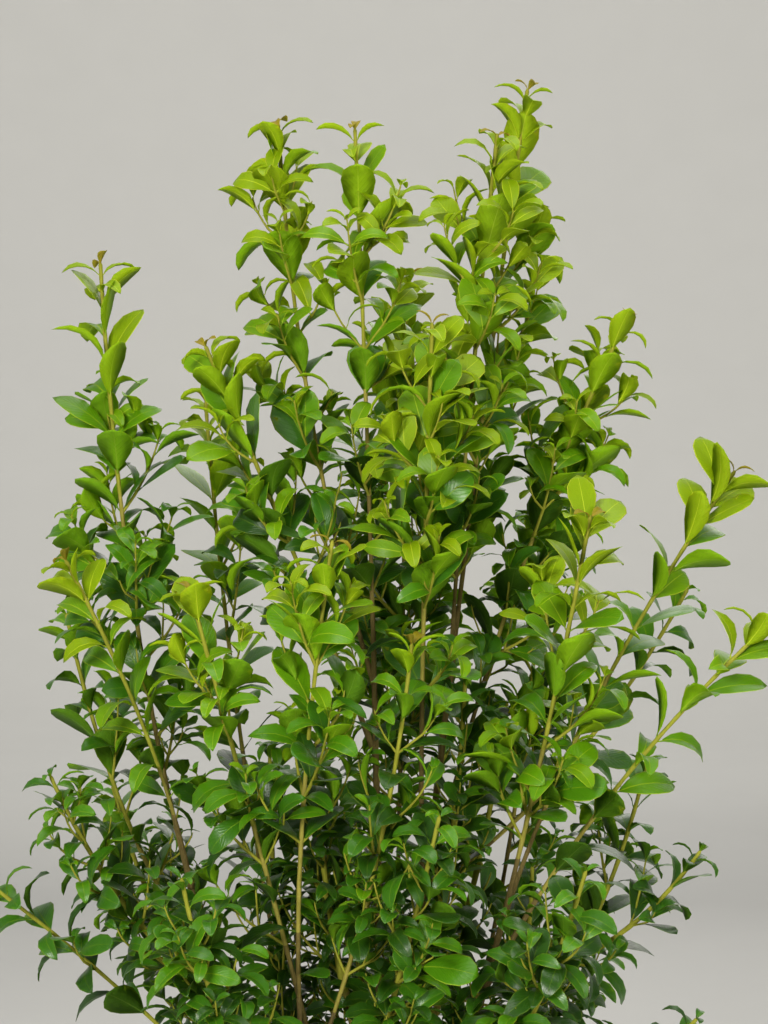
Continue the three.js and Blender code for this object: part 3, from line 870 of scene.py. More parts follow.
@dataclass
class Growth:
    """The rule by which leaves and twigs grow on every mass, in millimetres and degrees.

    Attributes:
        side_angle: Between a twig and what it grows on.
        room: That a leaf's middle needs, as a share of its length.
    """

    shoots: dict[str, Shoot]
    spaces: Spaces
    side_angle: float = 42
    room: float = 0.33
    leaves: list[LeafSpot] = field(default_factory=list)
    twigs: list[TwigRun] = field(default_factory=list)
    clearings: Clearings = field(default_factory=Clearings)

    # The bare foot of a stem that goes on from a bough, of one beside a bough, and of a twig
    FEET: ClassVar = (12, 26, 9)
    # A stem's thickness at a node, between nodes and at its very tip
    SWOLLEN: ClassVar = 1.14
    SLIM: ClassVar = 0.97
    POINTED: ClassVar = 0.5
    # The lengths of green wood, how much shorter that is on each level, and of tan wood
    GREEN_WOOD: ClassVar = 200
    GREEN_STEP: ClassVar = 30
    TAN_WOOD: ClassVar = 320
    # The heights over which leaves grow broader and are held more to the light
    LIT: ClassVar = Span(470, 560)
    # The share of broad leaves at the foot and the top of the shrub
    BROAD: ClassVar = (0.04, 0.85)
    # The leaves younger than this have the shapes of young ones
    YOUNG_AGE: ClassVar = 0.4
    # A leaf is tried at these shares of its size until it keeps clear of the limbs
    LEAF_SIZES: ClassVar = (1.0, 0.84, 0.7)
    LEAF_CLEAR: ClassVar = 0.8
    # The same for a twig, which is left out where it would be shorter than the least
    TWIG_SIZES: ClassVar = (1.0, 0.75, 0.5)
    TWIG_CLEAR: ClassVar = 1.5
    LEAST_TWIG: ClassVar = 16
    # A twig's radius at its tip, and the most at its foot
    TWIG_RADII: ClassVar = (0.6, 1.5)
    # How likely an axil is to grow a twig near the tip and low down
    AXILS: ClassVar = (0.55, 0.88)
    LOWER: ClassVar = Span(0, 330)
    # Where leaves are brightest: high up and far out, as painted light where more light falls, and near a
    # tip, where they are new
    PAINTED_LIGHT_HEIGHTS: ClassVar = Span(420, 850)
    PAINTED_LIGHT_REACH: ClassVar = Span(0, 260)
    NEAR_TIP: ClassVar = Span(0, 55)

    def grow(self) -> None:
        """Grows every mass: the stems' leaves first, then the twigs, then the spurs on them."""
        sprigs = []
        for number, shoot in enumerate(self.shoots.values()):
            foot = self.FEET[0 if shoot.row.bare else 1]
            sprigs.append(Sprig(shoot.path, shoot.row.bare, shoot, number, shoot.seed, STEM, 0, foot))
        for sprig in sprigs:
            self._wood(sprig, sprig.shoot.stem_radius, 0)
            self._leaves(sprig)
        twigs = [twig for sprig in sprigs for twig in self._side_twigs(sprig, TWIG, 1)]
        for twig in twigs:
            self._leaves(twig)
        spurs = [spur for twig in twigs for spur in self._side_twigs(twig, SPUR, 2)]
        for spur in spurs:
            self._leaves(spur)

    def _wood(self, sprig: Sprig, radius_at: Callable[[float], float], level: int) -> None:
        """Adds a stem or twig as runs of one age of wood each.

        Args:
            sprig: The stem or twig.
            radius_at: Its radius at a share of its path.
            level: 0 for a mass's own stem, 1 for its twigs, and so on.
        """
        path = sprig.path
        total = path.length - path.length_at(sprig.start)
        places = [d for _, d in sprig.nodes() if d < total]
        marks = sorted({0.0, *places, *[(a + b) / 2 for a, b in zip(places, places[1:])], total})
        swollen = set(places)
        runs: list[TwigRun] = []
        for distance in reversed(marks):
            t = sprig.start if distance == total else path.share_below_tip(distance)
            radius = radius_at(t) * (self.SWOLLEN if distance in swollen else self.SLIM)
            radius *= self.POINTED if distance == 0 else 1
            wood = self._age(distance, level)
            if not runs or runs[-1].wood is not wood:
                if runs:
                    runs[-1].add(path.point(t), radius)
                runs.append(TwigRun(wood))
            runs[-1].add(path.point(t), radius)
        self.twigs.extend(run for run in runs if len(run.points) > 1)

    def _age(self, distance: float, level: int) -> Wood:
        """Tells the wood's age.

        Args:
            distance: How far back from the tip.
            level: 0 for a mass's own stem, 1 for its twigs, and so on.

        Returns:
            The age.
        """
        if distance < self.GREEN_WOOD - self.GREEN_STEP * level:
            return Wood.GREEN
        return Wood.TAN if distance < self.TAN_WOOD else Wood.BROWN

    def _leaves(self, sprig: Sprig) -> None:
        """Grows leaf pairs along a stem or twig, skipping those that don't fit.

        Args:
            sprig: The stem or twig.
        """
        habit = sprig.habit
        for k, distance in sprig.nodes():
            age = min(1.0, k * sprig.shoot.row.haste / habit.young_nodes)
            wobble = (chance(sprig.seed, k, 2) - 0.5) * 26
            lean = math.radians(mix(*habit.angles, age**0.8) + wobble + min(12, distance / 30))
            for side in (-1, 1):
                self._leaf(sprig, k, distance, age, lean, side)

    def _leaf(self, sprig: Sprig, k: int, distance: float, age: float, lean: float, side: int) -> None:
        """Grows one leaf of a pair if it fits.

        Args:
            sprig: What it grows on.
            k: Its node's number.
            distance: Its node's length back from the tip.
            age: From 0 at the tip to 1 where leaves are full grown.
            lean: Its angle off the stem.
            side: -1 or 1, for the two leaves of the pair.
        """
        seed, habit = sprig.seed, sprig.habit
        root, along, out = sprig.axil(k, distance, side)
        use = 3 if side > 0 else 4
        height = self.LIT.share(root[2])
        broad = chance(seed, k, use + 14) < mix(*self.BROAD, height) * (1.1 if habit is STEM else 0.7) * age
        shapes = YOUNG_SHAPES if age < self.YOUNG_AGE else BROAD_SHAPES if broad else NARROW_SHAPES
        shape = shapes[int(chance(seed, k, use + 8) * len(shapes))]
        # It leans out by chance and by its shape, and less on the side of the light
        lean += math.radians((chance(seed, k, use + 20) - 0.5) * 18) + (shape.recurve - 0.9) * 0.3
        lean -= 0.3 * max(0.0, float(out @ unit(LIGHT))) * height * age
        # An old leaf low down hangs, and one on a slanting stem rises
        hang = (1 - height) * age
        rise = 0.8 * (1 - along[2]) * (1 - hang) - 0.2 * hang
        axis = unit(along * math.cos(lean) + out * math.sin(lean) + UP * rise)
        # Its face turns up, to the light and away from the trunk
        face = along * math.sin(lean) - out * math.cos(lean) + UP * (0.2 * age + 0.75 * hang)
        face += (LIGHT * height * (1 + 6 * (1 - along[2])) + unit(root * (1, 1, 0)) * 0.12) * age
        face = unit(face - axis * (face @ axis))
        # It is larger with age and with height, and a little by chance
        size = mix(habit.young_size, 1, age**0.6) * (0.84 + 0.26 * chance(seed, k, use))
        size *= mix(0.86, 1.02, height)
        middle = root
        for shrink in self.LEAF_SIZES:
            length = habit.leaf_length * size * shrink
            middle = root + axis * length * 0.6
            wide = np.cross(axis, face) * length * 0.2
            points = np.array([root + axis * length * 0.95, middle + wide, middle - wide])
            free = self.clearings.free(middle, length * self.room)
            if free and self._fits(sprig.number, points, self.LEAF_CLEAR):
                break
        else:
            return
        self.clearings.add(middle, length * self.room)
        # It tilts about its midrib by chance
        tilt = (chance(seed, k, use + 6) - 0.5) * mix(0.7, 1.15, height)
        turned = unit(face * math.cos(tilt) + np.cross(axis, face) * math.sin(tilt))
        tint = self._tint(sprig, root, distance, k, chance(seed, k, use + 10))
        self.leaves.append(LeafSpot(root, axis, turned, length, LEAF_SHAPES.index(shape), tint))

    def _fits(self, number: int, points: np.ndarray, gap: float) -> bool:
        """Whether points lie in a mass's own space and clear of the limbs of other shoots."""
        return self.spaces.owns(number, points) and self.spaces.clear_of_limbs(number, points, gap)

    def _tint(self, sprig: Sprig, root: np.ndarray, distance: float, k: int, luck: float) -> Tint:
        """Deals out a leaf's tint by its spray: by its newness, and as painted light by its height and how
        far out it is.

        Args:
            sprig: What it grows on.
            root: Where it grows.
            distance: How far below its sprig's tip.
            k: Its node's number.
            luck: Its own seeded number.

        Returns:
            The tint.
        """
        shoot = sprig.shoot
        below = float(np.linalg.norm(root - shoot.path.tip))
        newness = max(0.0, 1 - below / shoot.row.flush.value)
        # Painted light: a leaf high up or far out is coloured lighter, as if more light fell on it
        height = self.PAINTED_LIGHT_HEIGHTS.share(root[2])
        painted_outer_light = self.PAINTED_LIGHT_REACH.share(math.hypot(root[0], root[1] * 1.2))
        fresh_tip = FRESH_TIPS[shoot.row.flush] * (1 - self.NEAR_TIP.share(distance))
        score = 0.5 * newness + 0.36 * height + 0.1 * painted_outer_light + fresh_tip
        # The lowest leaves are painted darker still, as painted shade, and leaves and sprays differ by chance
        score -= 0.22 * max(0.0, (650 - root[2]) / 200)
        score += 0.24 * (luck - 0.5) + 0.18 * (chance(sprig.seed, 0, 12) - 0.5) - 0.035
        if k == 0 and sprig.habit is STEM and newness > 0:
            return Tint.BRONZE
        for tint, least in TINT_SCORES:
            if score > least:
                return tint
        return Tint.SHADE

    def _side_twigs(self, parent: Sprig, habit: Habit, level: int) -> list[Sprig]:
        """Grows the twigs in the leaf axils of a stem or twig, where they fit.

        Args:
            parent: The stem or twig.
            habit: The twigs' habit.
            level: 1 for twigs on a mass's own stem, 2 for those on its twigs.

        Returns:
            The twigs.
        """
        grown = []
        reach = parent.shoot.row.reach
        seed, rule = parent.seed, parent.habit
        for k, distance in parent.nodes():
            if distance < (parent.shoot.row.clear if rule is STEM else rule.bare_tip):
                continue
            lower = self.LOWER.share(distance)
            for side in (-1, 1):
                use = 6 if side > 0 else 7
                if chance(seed, k, use + 24) > mix(*self.AXILS, lower) * parent.shoot.row.branching:
                    continue
                wish = rule.side_share * distance * (0.65 + 0.6 * chance(seed, k, use))
                length = min(wish, reach * rule.most * (0.85 + 0.3 * chance(seed, k, use + 26)))
                if length < self.LEAST_TWIG:
                    continue
                # It leaves at a slant and bends up towards its tip
                lean = math.radians(self.side_angle + (chance(seed, k, 8) - 0.5) * 18 + 8 * lower)
                root, along, out = parent.axil(k, distance, side)
                way = along * math.cos(lean) + out * math.sin(lean)
                for shrink in self.TWIG_SIZES:
                    size = length * shrink
                    tip = root + way * size * 0.72 + UP * size * 0.36
                    twig = Path(root, root + way * size * 0.56, tip)
                    points = np.array([twig.point(s) for s in (0.4, 0.7, 1)])
                    if self._fits(parent.number, points, self.TWIG_CLEAR):
                        break
                else:
                    continue
                own = seed * 40 + k * 2 + (1 if side > 0 else 0)
                first_age = 0 if size > 60 else 1
                sprig = Sprig(twig, 0, parent.shoot, parent.number, own, habit, first_age, self.FEET[2])
                tip_radius, most = self.TWIG_RADII
                thick = min(most, 0.75 + size / 120)
                self._wood(sprig, lambda share, foot=thick: mix(foot, tip_radius, share), level)
                grown.append(sprig)
        return grown


# How much brighter the leaves at a twig's tip are
FRESH_TIPS = {Flush.STRONG: 0.32, Flush.FAIR: 0.25, Flush.SLIGHT: 0.2, Flush.NONE: 0.12}
# The least score for each tint
TINT_SCORES = (
    (Tint.FLUSH, 0.74),
    (Tint.YOUNG, 0.58),
    (Tint.FRESH, 0.44),
    (Tint.MATURE, 0.3),
    (Tint.DEEP, 0.17),
)


# Node trees and materials


class Nodes:
    """A thin hand on a node tree: adds nodes, sets their values and links them."""

    def __init__(self, tree: NodeTree) -> None:
        """Takes hold of a tree."""
        self.tree = tree

    def add(self, kind: str, settings: dict[str, object] | None = None, **values: object) -> Node:
        """Adds a node.

        Args:
            kind: The node's type.
            settings: Its properties.
            **values: Input values or output sockets, by the input's name with _ for a space.

        Returns:
            The node.
        """
        node = self.tree.nodes.new(kind)
        for key, value in (settings or {}).items():
            setattr(node, key, value)
        self.fill(node, **values)
        return node

    def fill(self, node: Node, **values: object) -> None:
        """Sets a node's inputs, by their names with _ for a space."""
        for key, value in values.items():
            self.put(node, key.replace("_", " "), value)

    def put(self, node: Node, name: str | int, value: object) -> None:
        """Sets an input's value, or links an output socket to it.

        Args:
            node: The node.
            name: The input's name or number.
            value: The value or the socket.
        """
        socket = node.inputs[name]
        if isinstance(value, NodeSocket):
            self.tree.links.new(value, socket)
        else:
            socket.default_value = value

    def maths(self, operation: str, *values: object) -> NodeSocket:
        """Adds a Math node.

        Args:
            operation: What it does.
            *values: Its values or sockets.

        Returns:
            Its output.
        """
        node = self.tree.nodes.new("ShaderNodeMath")
        node.operation = operation
        for i, value in enumerate(values):
            self.put(node, i, value)
        return node.outputs[0]

    def blend(self, share: object, a: object, b: object) -> NodeSocket:
        """Adds a mix of two colours.

        Args:
            share: The second colour's share.
            a: The first colour or its socket.
            b: The second colour or its socket.

        Returns:
            The mixed colour.
        """
        node = self.tree.nodes.new("ShaderNodeMix")
        node.data_type = "RGBA"
        self.put(node, 0, share)
        self.put(node, 6, a)
        self.put(node, 7, b)
        return node.outputs[2]

    def ramp(self, value: object, low: float, high: float, a: float = 0, b: float = 1) -> NodeSocket:
        """Adds a straight rise from a to b, level outside it.

        Args:
            value: The value or its socket.
            low: Where the result is a.
            high: Where the result is b.
            a: The first result.
            b: The last result.

        Returns:
            The result.
        """
        node = self.add("ShaderNodeMapRange", Value=value, From_Min=low, From_Max=high, To_Min=a, To_Max=b)
        return node.outputs[0]

    def noise(self, vector: object, scale: float, detail: float, rough: float) -> NodeSocket:
        """Adds a noise.

        Args:
            vector: Where it is read.
            scale: How fine it is.
            detail: How many finer noises it has on it.
            rough: How strong these are.

        Returns:
            Its value.
        """
        node = self.add("ShaderNodeTexNoise", Vector=vector, Scale=scale, Detail=detail, Roughness=rough)
        return node.outputs[0]

    def place(self) -> NodeSocket:
        """The place on the object, in metres."""
        return self.add("ShaderNodeTexCoord").outputs["Object"]

    def relief(self, shader: Node, strength: float, depth: float, height: object) -> None:
        """Gives a shader a fine relief.

        Args:
            shader: The shader.
            strength: How strong the relief is.
            depth: How deep it is, in metres.
            height: Its height.
        """
        bump = self.add("ShaderNodeBump", Strength=strength, Distance=depth, Height=height)
        self.put(shader, "Normal", bump.outputs[0])


def rgba(colour: Triple, k: float = 1.0) -> tuple[float, float, float, float]:
    """The colour as four numbers, made brighter or darker k times."""
    return (colour[0] * k, colour[1] * k, colour[2] * k, 1.0)


class Finish:
    """A finish with one principled shader, which a subclass fills in."""

    name: str
    made: ClassVar[dict[str, Material]] = {}

    def material(self) -> Material:
        """Makes the material once, and returns the same one after that.

        Returns:
            The material.
        """
        if self.name not in self.made:
            material = bpy.data.materials.new(self.name)
            material.use_nodes = True
            self.made[self.name] = material
            self.dress(Nodes(material.node_tree), material.node_tree.nodes["Principled BSDF"])
        return self.made[self.name]

    def dress(self, nodes: Nodes, shader: Node) -> None:
        """Fills in the shader in a subclass."""
        raise NotImplementedError


@dataclass(frozen=True)
class LeafFinish(Finish):
    """One side of a leaf: the spray's plain colour, with side veins and a grain in its relief."""

    name: str
    colour: Triple
    roughness: float = 0.42
    specular: float = 0.25
    veins: float = 0.25
    glow: float = 0.3

    VEINS: ClassVar = 10
    VEIN_SLANT: ClassVar = 7

    def dress(self, nodes: Nodes, shader: Node) -> None:
        """Fills in the shader.

        Args:
            nodes: The material's nodes.
            shader: Its principled shader.
        """
        place = nodes.add("ShaderNodeUVMap", {"uv_map": "leaf"}).outputs[0]
        split = nodes.add("ShaderNodeSeparateXYZ", Vector=place)
        across = nodes.maths("ABSOLUTE", nodes.maths("SUBTRACT", split.outputs[0], 0.5))
        rows = nodes.maths("MULTIPLY", split.outputs[1], self.VEINS)
        chevron = nodes.maths("SUBTRACT", rows, nodes.maths("MULTIPLY", across, self.VEIN_SLANT))
        wave = nodes.maths("SINE", nodes.maths("MULTIPLY", chevron, 2 * math.pi))
        grain = nodes.noise(place, 26, 3, 0.6)
        height = nodes.maths("ADD", nodes.ramp(wave, 0.5, 1, 0, 0.8), nodes.maths("MULTIPLY", grain, 0.5))
        nodes.relief(shader, self.veins, 0.0005, height)
        nodes.fill(shader, Base_Color=rgba(self.colour), Roughness=self.roughness)
        nodes.fill(shader, Specular_IOR_Level=self.specular, Subsurface_Weight=self.glow)
        nodes.fill(shader, Subsurface_Radius=(0.8, 1.0, 0.1), Subsurface_Scale=0.0012)


@dataclass(frozen=True)
class BarkFinish(Finish):
    """Bark or a twig's skin: two tones in streaks along the limb, with pale breathing pores."""

    name: str
    dark: Triple
    light: Triple
    streak: float = 1.0
    pores: float = 0.5
    roughness: float = 0.75
    relief: float = 0.5
    aged: float = 0.0

    # The greyer tones of old bark, and the heights over which it gives way, in metres
    OLD: ClassVar = ((0.035, 0.027, 0.019), (0.16, 0.125, 0.088))
    OLD_HEIGHTS: ClassVar = (0.36, 0.62)

    def dress(self, nodes: Nodes, shader: Node) -> None:
        """Fills in the shader.

        Args:
            nodes: The material's nodes.
            shader: Its principled shader.
        """
        place = nodes.place()
        slim = nodes.add("ShaderNodeMapping", Vector=place, Scale=(1, 1, 0.16)).outputs[0]
        streaks = nodes.noise(slim, 520, 4, 0.62)
        blotches = nodes.noise(place, 46, 3, 0.55)
        streaky = nodes.maths("MULTIPLY", streaks, 0.6 * self.streak)
        share = nodes.maths("ADD", streaky, nodes.maths("MULTIPLY", blotches, 0.55))
        tone = nodes.ramp(share, 0.36, 0.74)
        base = nodes.blend(tone, rgba(self.dark), rgba(self.light))
        cells = nodes.add("ShaderNodeTexVoronoi", Vector=place, Scale=300.0)
        pore = nodes.ramp(cells.outputs["Distance"], 0.1, 0.2, self.pores, 0)
        base = nodes.blend(pore, base, rgba(self.light, 1.35))
        if self.aged:
            low = nodes.add("ShaderNodeSeparateXYZ", Vector=place).outputs[2]
            tones = nodes.blend(tone, *(rgba(colour) for colour in self.OLD))
            base = nodes.blend(nodes.ramp(low, *self.OLD_HEIGHTS, self.aged, 0), base, tones)
        rough = nodes.ramp(streaks, 0.2, 0.8, self.roughness - 0.1, self.roughness + 0.12)
        height = nodes.maths("ADD", streaks, nodes.maths("MULTIPLY", pore, 0.5))
        nodes.relief(shader, self.relief, 0.0009, height)
        nodes.fill(shader, Base_Color=base, Roughness=rough, Specular_IOR_Level=0.04)


@dataclass(frozen=True)
class PlasticFinish(Finish):
    """The pot's moulded black plastic, scuffed, and dusty in patches, most of all low down."""

    name: str = "moulded_plastic"
    colour: Triple = (0.013, 0.014, 0.015)
    dust: Triple = (0.16, 0.12, 0.085)

    def dress(self, nodes: Nodes, shader: Node) -> None:
        """Fills in the shader.

        Args:
            nodes: The material's nodes.
            shader: Its principled shader.
        """
        place = nodes.place()
        height = nodes.add("ShaderNodeSeparateXYZ", Vector=place).outputs[2]
        patches = nodes.noise(place, 11, 5, 0.65)
        specks = nodes.noise(place, 160, 3, 0.7)
        low = nodes.ramp(height, 0.0, 0.08, 0.5, 0.0)
        amount = nodes.maths("MULTIPLY", nodes.maths("ADD", low, 0.13), nodes.ramp(patches, 0.42, 0.72))
        amount = nodes.maths("MULTIPLY", amount, nodes.ramp(specks, 0.3, 0.75, 0.25, 1.0))
        slim = nodes.add("ShaderNodeMapping", Vector=place, Scale=(1, 1, 14)).outputs[0]
        scuffs = nodes.maths("ADD", nodes.noise(slim, 26, 4, 0.6), amount)
        base = nodes.blend(amount, rgba(self.colour), rgba(self.dust))
        nodes.fill(shader, Base_Color=base, Roughness=nodes.ramp(scuffs, 0.3, 0.9, 0.33, 0.62))
        nodes.relief(shader, 0.14, 0.0006, nodes.noise(place, 900, 2, 0.6))
        nodes.put(shader, "Specular IOR Level", 0.45)


@dataclass(frozen=True)
class MixFinish(Finish):
    """Moist potting mix, a bark chip or a pale grain: two tones in crumbs."""

    name: str
    dark: Triple
    light: Triple
    crumb: float = 420.0
    roughness: float = 0.9

    def dress(self, nodes: Nodes, shader: Node) -> None:
        """Fills in the shader.

        Args:
            nodes: The material's nodes.
            shader: Its principled shader.
        """
        place = nodes.place()
        fine = nodes.noise(place, self.crumb, 4, 0.7)
        broad = nodes.noise(place, 38, 3, 0.5)
        both = nodes.maths("ADD", nodes.maths("MULTIPLY", fine, 0.7), nodes.maths("MULTIPLY", broad, 0.4))
        base = nodes.blend(nodes.ramp(both, 0.38, 0.72), rgba(self.dark), rgba(self.light))
        rough = nodes.ramp(broad, 0.2, 0.8, self.roughness - 0.2, self.roughness)
        nodes.fill(shader, Base_Color=base, Roughness=rough)
        nodes.relief(shader, 0.8, 0.0015, fine)


@dataclass(frozen=True)
class FloorFinish(Finish):
    """The studio's plain pale floor, with the faintest grain."""

    name: str = "studio_floor"
    colour: Triple = (0.62, 0.62, 0.605)

    def dress(self, nodes: Nodes, shader: Node) -> None:
        """Fills in the shader.

        Args:
            nodes: The material's nodes.
            shader: Its principled shader.
        """
        place = nodes.place()
        grain = nodes.noise(place, 6, 2, 0.5)
        base = nodes.blend(grain, rgba(self.colour, 0.98), rgba(self.colour, 1.02))
        nodes.fill(shader, Base_Color=base, Roughness=0.85)


@dataclass(frozen=True)
class LeafLook:
    """The colours of one tint's upper side, underside and ribs, the rib colour also painting the margin as an
    edge highlight, and the upper side's finish.
    """

    upper: Triple
    under: Triple
    rib: Triple
    roughness: float
    specular: float


# The tints step from light to dark, partly for the leaves' age and partly as painted light and shade
LEAF_LOOKS = {
    Tint.BRONZE: LeafLook((0.22, 0.18, 0.01), (0.25, 0.2, 0.02), (0.27, 0.17, 0.02), 0.45, 0.14),
    Tint.FLUSH: LeafLook((0.18, 0.28, 0.002), (0.225, 0.33, 0.006), (0.36, 0.45, 0.018), 0.42, 0.16),
    Tint.YOUNG: LeafLook((0.12, 0.25, 0.002), (0.195, 0.325, 0.006), (0.275, 0.395, 0.015), 0.38, 0.2),
    Tint.FRESH: LeafLook((0.086, 0.22, 0.002), (0.165, 0.315, 0.006), (0.215, 0.34, 0.012), 0.35, 0.26),
    Tint.MATURE: LeafLook((0.058, 0.182, 0.003), (0.125, 0.265, 0.007), (0.155, 0.275, 0.011), 0.32, 0.32),
    Tint.DEEP: LeafLook((0.033, 0.124, 0.004), (0.07, 0.165, 0.007), (0.1, 0.2, 0.011), 0.3, 0.36),
    Tint.SHADE: LeafLook((0.017, 0.064, 0.003), (0.034, 0.085, 0.005), (0.065, 0.13, 0.01), 0.3, 0.36),
}
# Two tones, then the strength of the streaks and pores, the roughness, the relief and the age
WOODS = {
    Wood.GREEN: BarkFinish("twig_green", (0.19, 0.2, 0.018), (0.35, 0.35, 0.045), 0.8, 0.15, 0.55, 0.2),
    Wood.TAN: BarkFinish("twig_tan", (0.17, 0.155, 0.025), (0.33, 0.29, 0.06), 1.0, 0.35, 0.65, 0.35),
    Wood.BROWN: BarkFinish("twig_brown", (0.07, 0.055, 0.016), (0.17, 0.135, 0.038), 1.1, 0.5, 0.75, 0.5),
}
# The limbs' bark: its own brown, darkened as painted shade for the foliage over the boughs
BARK_AND_PAINTED_SHADE = BarkFinish("limb_bark", (0.05, 0.039, 0.014), (0.165, 0.126, 0.042), 1.2, 0.5, 0.8, 0.9, 0.8)


# Handling of objects and meshes


def put_object(name: str, mesh: Mesh) -> Object:
    """Links a mesh to the scene as an object at the origin.

    Args:
        name: The object's name.
        mesh: Its mesh.

    Returns:
        The object.
    """
    obj = bpy.data.objects.new(name, mesh)
    bpy.context.scene.collection.objects.link(obj)
    return obj


def facing(data: ID, place: Vector, aim: Vector) -> Object:
    """Puts a camera or a light into the scene.

    Args:
        data: The camera or light.
        place: Where it stands.
        aim: What it faces.

    Returns:
        Its object.
    """
    obj = bpy.data.objects.new(data.name, data)
    obj.location = place
    obj.rotation_euler = (aim - place).to_track_quat("-Z", "Y").to_euler()
    bpy.context.scene.collection.objects.link(obj)
    return obj


def declare(obj: Object, nodes: Sequence[str]) -> None:
    """Hides the nodes that a finished piece replaces and attaches it to what it rides on.

    Args:
        obj: The piece.
        nodes: The nodes that it replaces.
    """
    if nodes:
        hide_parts(*nodes)
    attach(obj, BODY)
    obj.data.update()
    LOG.info("%s: %d faces", obj.name, len(obj.data.polygons))


def plain_mesh(obj: Object) -> None:
    """Turns what the object's modifiers make into its own plain mesh and removes them.

    Args:
        obj: The object.
    """
    bpy.context.view_layer.update()
    graph = bpy.context.evaluated_depsgraph_get()
    made = obj.evaluated_get(graph)
    mesh = bpy.data.meshes.new_from_object(made, preserve_all_data_layers=True, depsgraph=graph)
    old = obj.data
    obj.modifiers.clear()
    obj.data = mesh
    mesh.name = obj.name
    bpy.data.meshes.remove(old)
    for index in reversed(range(len(mesh.materials))):
        if mesh.materials[index] is None:
            mesh.materials.pop(index=index)


def baked(name: str, shape: bmesh.types.BMesh) -> Mesh:
    """Turns an edited mesh into a plain one and frees it.

    Args:
        name: The plain mesh's name.
        shape: The edited mesh.

    Returns:
        The plain mesh.
    """
    mesh = bpy.data.meshes.new(name)
    shape.to_mesh(mesh)
    shape.free()
    return mesh


def solid(name: str, points: Iterable[Sequence[float]], faces: list[tuple[int, ...]]) -> Mesh:
    """Makes a mesh.

    Args:
        name: The mesh's name.
        points: The points, in metres.
        faces: The numbers of each face's points.

    Returns:
        The mesh.
    """
    mesh = bpy.data.meshes.new(name)
    mesh.from_pydata([tuple(point) for point in points], [], faces)
    mesh.update()
    return mesh


def smooth(mesh: Mesh) -> None:
    """Shades every face of a mesh smooth."""
    mesh.polygons.foreach_set("use_smooth", [True] * len(mesh.polygons))


def on_circle(radius: float, i: int, sides: int) -> tuple[float, float]:
    """The place of point i of a circle of so many points about +Z."""
    angle = 2 * math.pi * i / sides
    return radius * math.cos(angle), radius * math.sin(angle)


def lathe(name: str, profile: Sequence[tuple[float, float]], sides: int) -> Mesh:
    """Turns a profile of radius and height, in millimetres, about +Z.

    Args:
        name: The mesh's name.
        profile: The points from the axis out and round to the axis again.
        sides: How many sides.

    Returns:
        The closed mesh.
    """
    points: list[Triple] = []
    rings: list[list[int]] = []
    for radius, height in profile:
        if radius < 1e-6:
            points.append((0, 0, height * MM))
            rings.append([len(points) - 1] * sides)
            continue
        first = len(points)
        points += [(*on_circle(radius * MM, i, sides), height * MM) for i in range(sides)]
        rings.append(list(range(first, first + sides)))
    faces = []
    for low, high in zip(rings, rings[1:]):
        for i in range(sides):
            j = (i + 1) % sides
            faces.append(tuple(dict.fromkeys((low[i], low[j], high[j], high[i]))))
    return solid(name, points, faces)


class GeometryTree:
    """A geometry node tree with named inputs, run on an object as a modifier that is then applied and
    removed.
    """

    def __init__(self, name: str, inputs: Iterable[tuple[str, str]]) -> None:
        """Starts the tree.

        Args:
            name: The tree's name.
            inputs: The name and socket type of each input after the geometry.
        """
        self.tree = bpy.data.node_groups.new(name, "GeometryNodeTree")
        face = self.tree.interface
        face.new_socket("Geometry", in_out="INPUT", socket_type="NodeSocketGeometry")
        face.new_socket("Geometry", in_out="OUTPUT", socket_type="NodeSocketGeometry")
        for label, kind in inputs:
            face.new_socket(label, in_out="INPUT", socket_type=kind)
        self.nodes = Nodes(self.tree)
        self.start = self.tree.nodes.new("NodeGroupInput")
        self.end = self.tree.nodes.new("NodeGroupOutput")

    def attribute(self, name: str, kind: str = "FLOAT") -> NodeSocket:
        """Reads a named attribute.

        Args:
            name: The attribute's name.
            kind: Its data type.

        Returns:
            Its socket.
        """
        node = self.nodes.add("GeometryNodeInputNamedAttribute", {"data_type": kind}, Name=name)
        return node.outputs["Attribute"]

    def set_out(self, turn: NodeSocket, size: NodeSocket) -> NodeSocket:
        """Sets one of the shapes on every point, as the attribute shape says.

        Args:
            turn: The rotation.
            size: The scale.

        Returns:
            The geometry of all of them.
        """
        nodes, start = self.nodes, self.start.outputs
        shapes = nodes.add("GeometryNodeCollectionInfo", Collection=start["Shapes"])
        nodes.fill(shapes, Separate_Children=True, Reset_Children=True)
        items = nodes.add("GeometryNodeInstanceOnPoints", Points=start["Geometry"], Rotation=turn, Scale=size)
        nodes.fill(items, Instance=shapes.outputs[0], Pick_Instance=True)
        nodes.put(items, "Instance Index", self.attribute("shape", "INT"))
        return nodes.add("GeometryNodeRealizeInstances", Geometry=items.outputs[0]).outputs[0]

    def coat(self, geometry: NodeSocket, name: str, **values: object) -> NodeSocket:
        """Gives a geometry the material of an input.

        Args:
            geometry: The geometry.
            name: The input's name.
            **values: More values for the node, such as which faces.

        Returns:
            The geometry with the material.
        """
        material = self.start.outputs[name]
        node = self.nodes.add("GeometryNodeSetMaterial", Geometry=geometry, Material=material, **values)
        return node.outputs[0]

    def finish(self, geometry: NodeSocket) -> None:
        """Links the last geometry to the tree's output."""
        self.tree.links.new(geometry, self.end.inputs[0])

    def run(self, obj: Object, values: dict[str, object]) -> None:
        """Runs the tree on an object and leaves a plain mesh.

        Args:
            obj: The object.
            values: The inputs' values, by name.
        """
        modifier = obj.modifiers.new(self.tree.name, "NODES")
        modifier.node_group = self.tree
        for item in self.tree.interface.items_tree:
            if item.in_out == "INPUT" and item.name in values:
                modifier[item.identifier] = values[item.name]
        plain_mesh(obj)


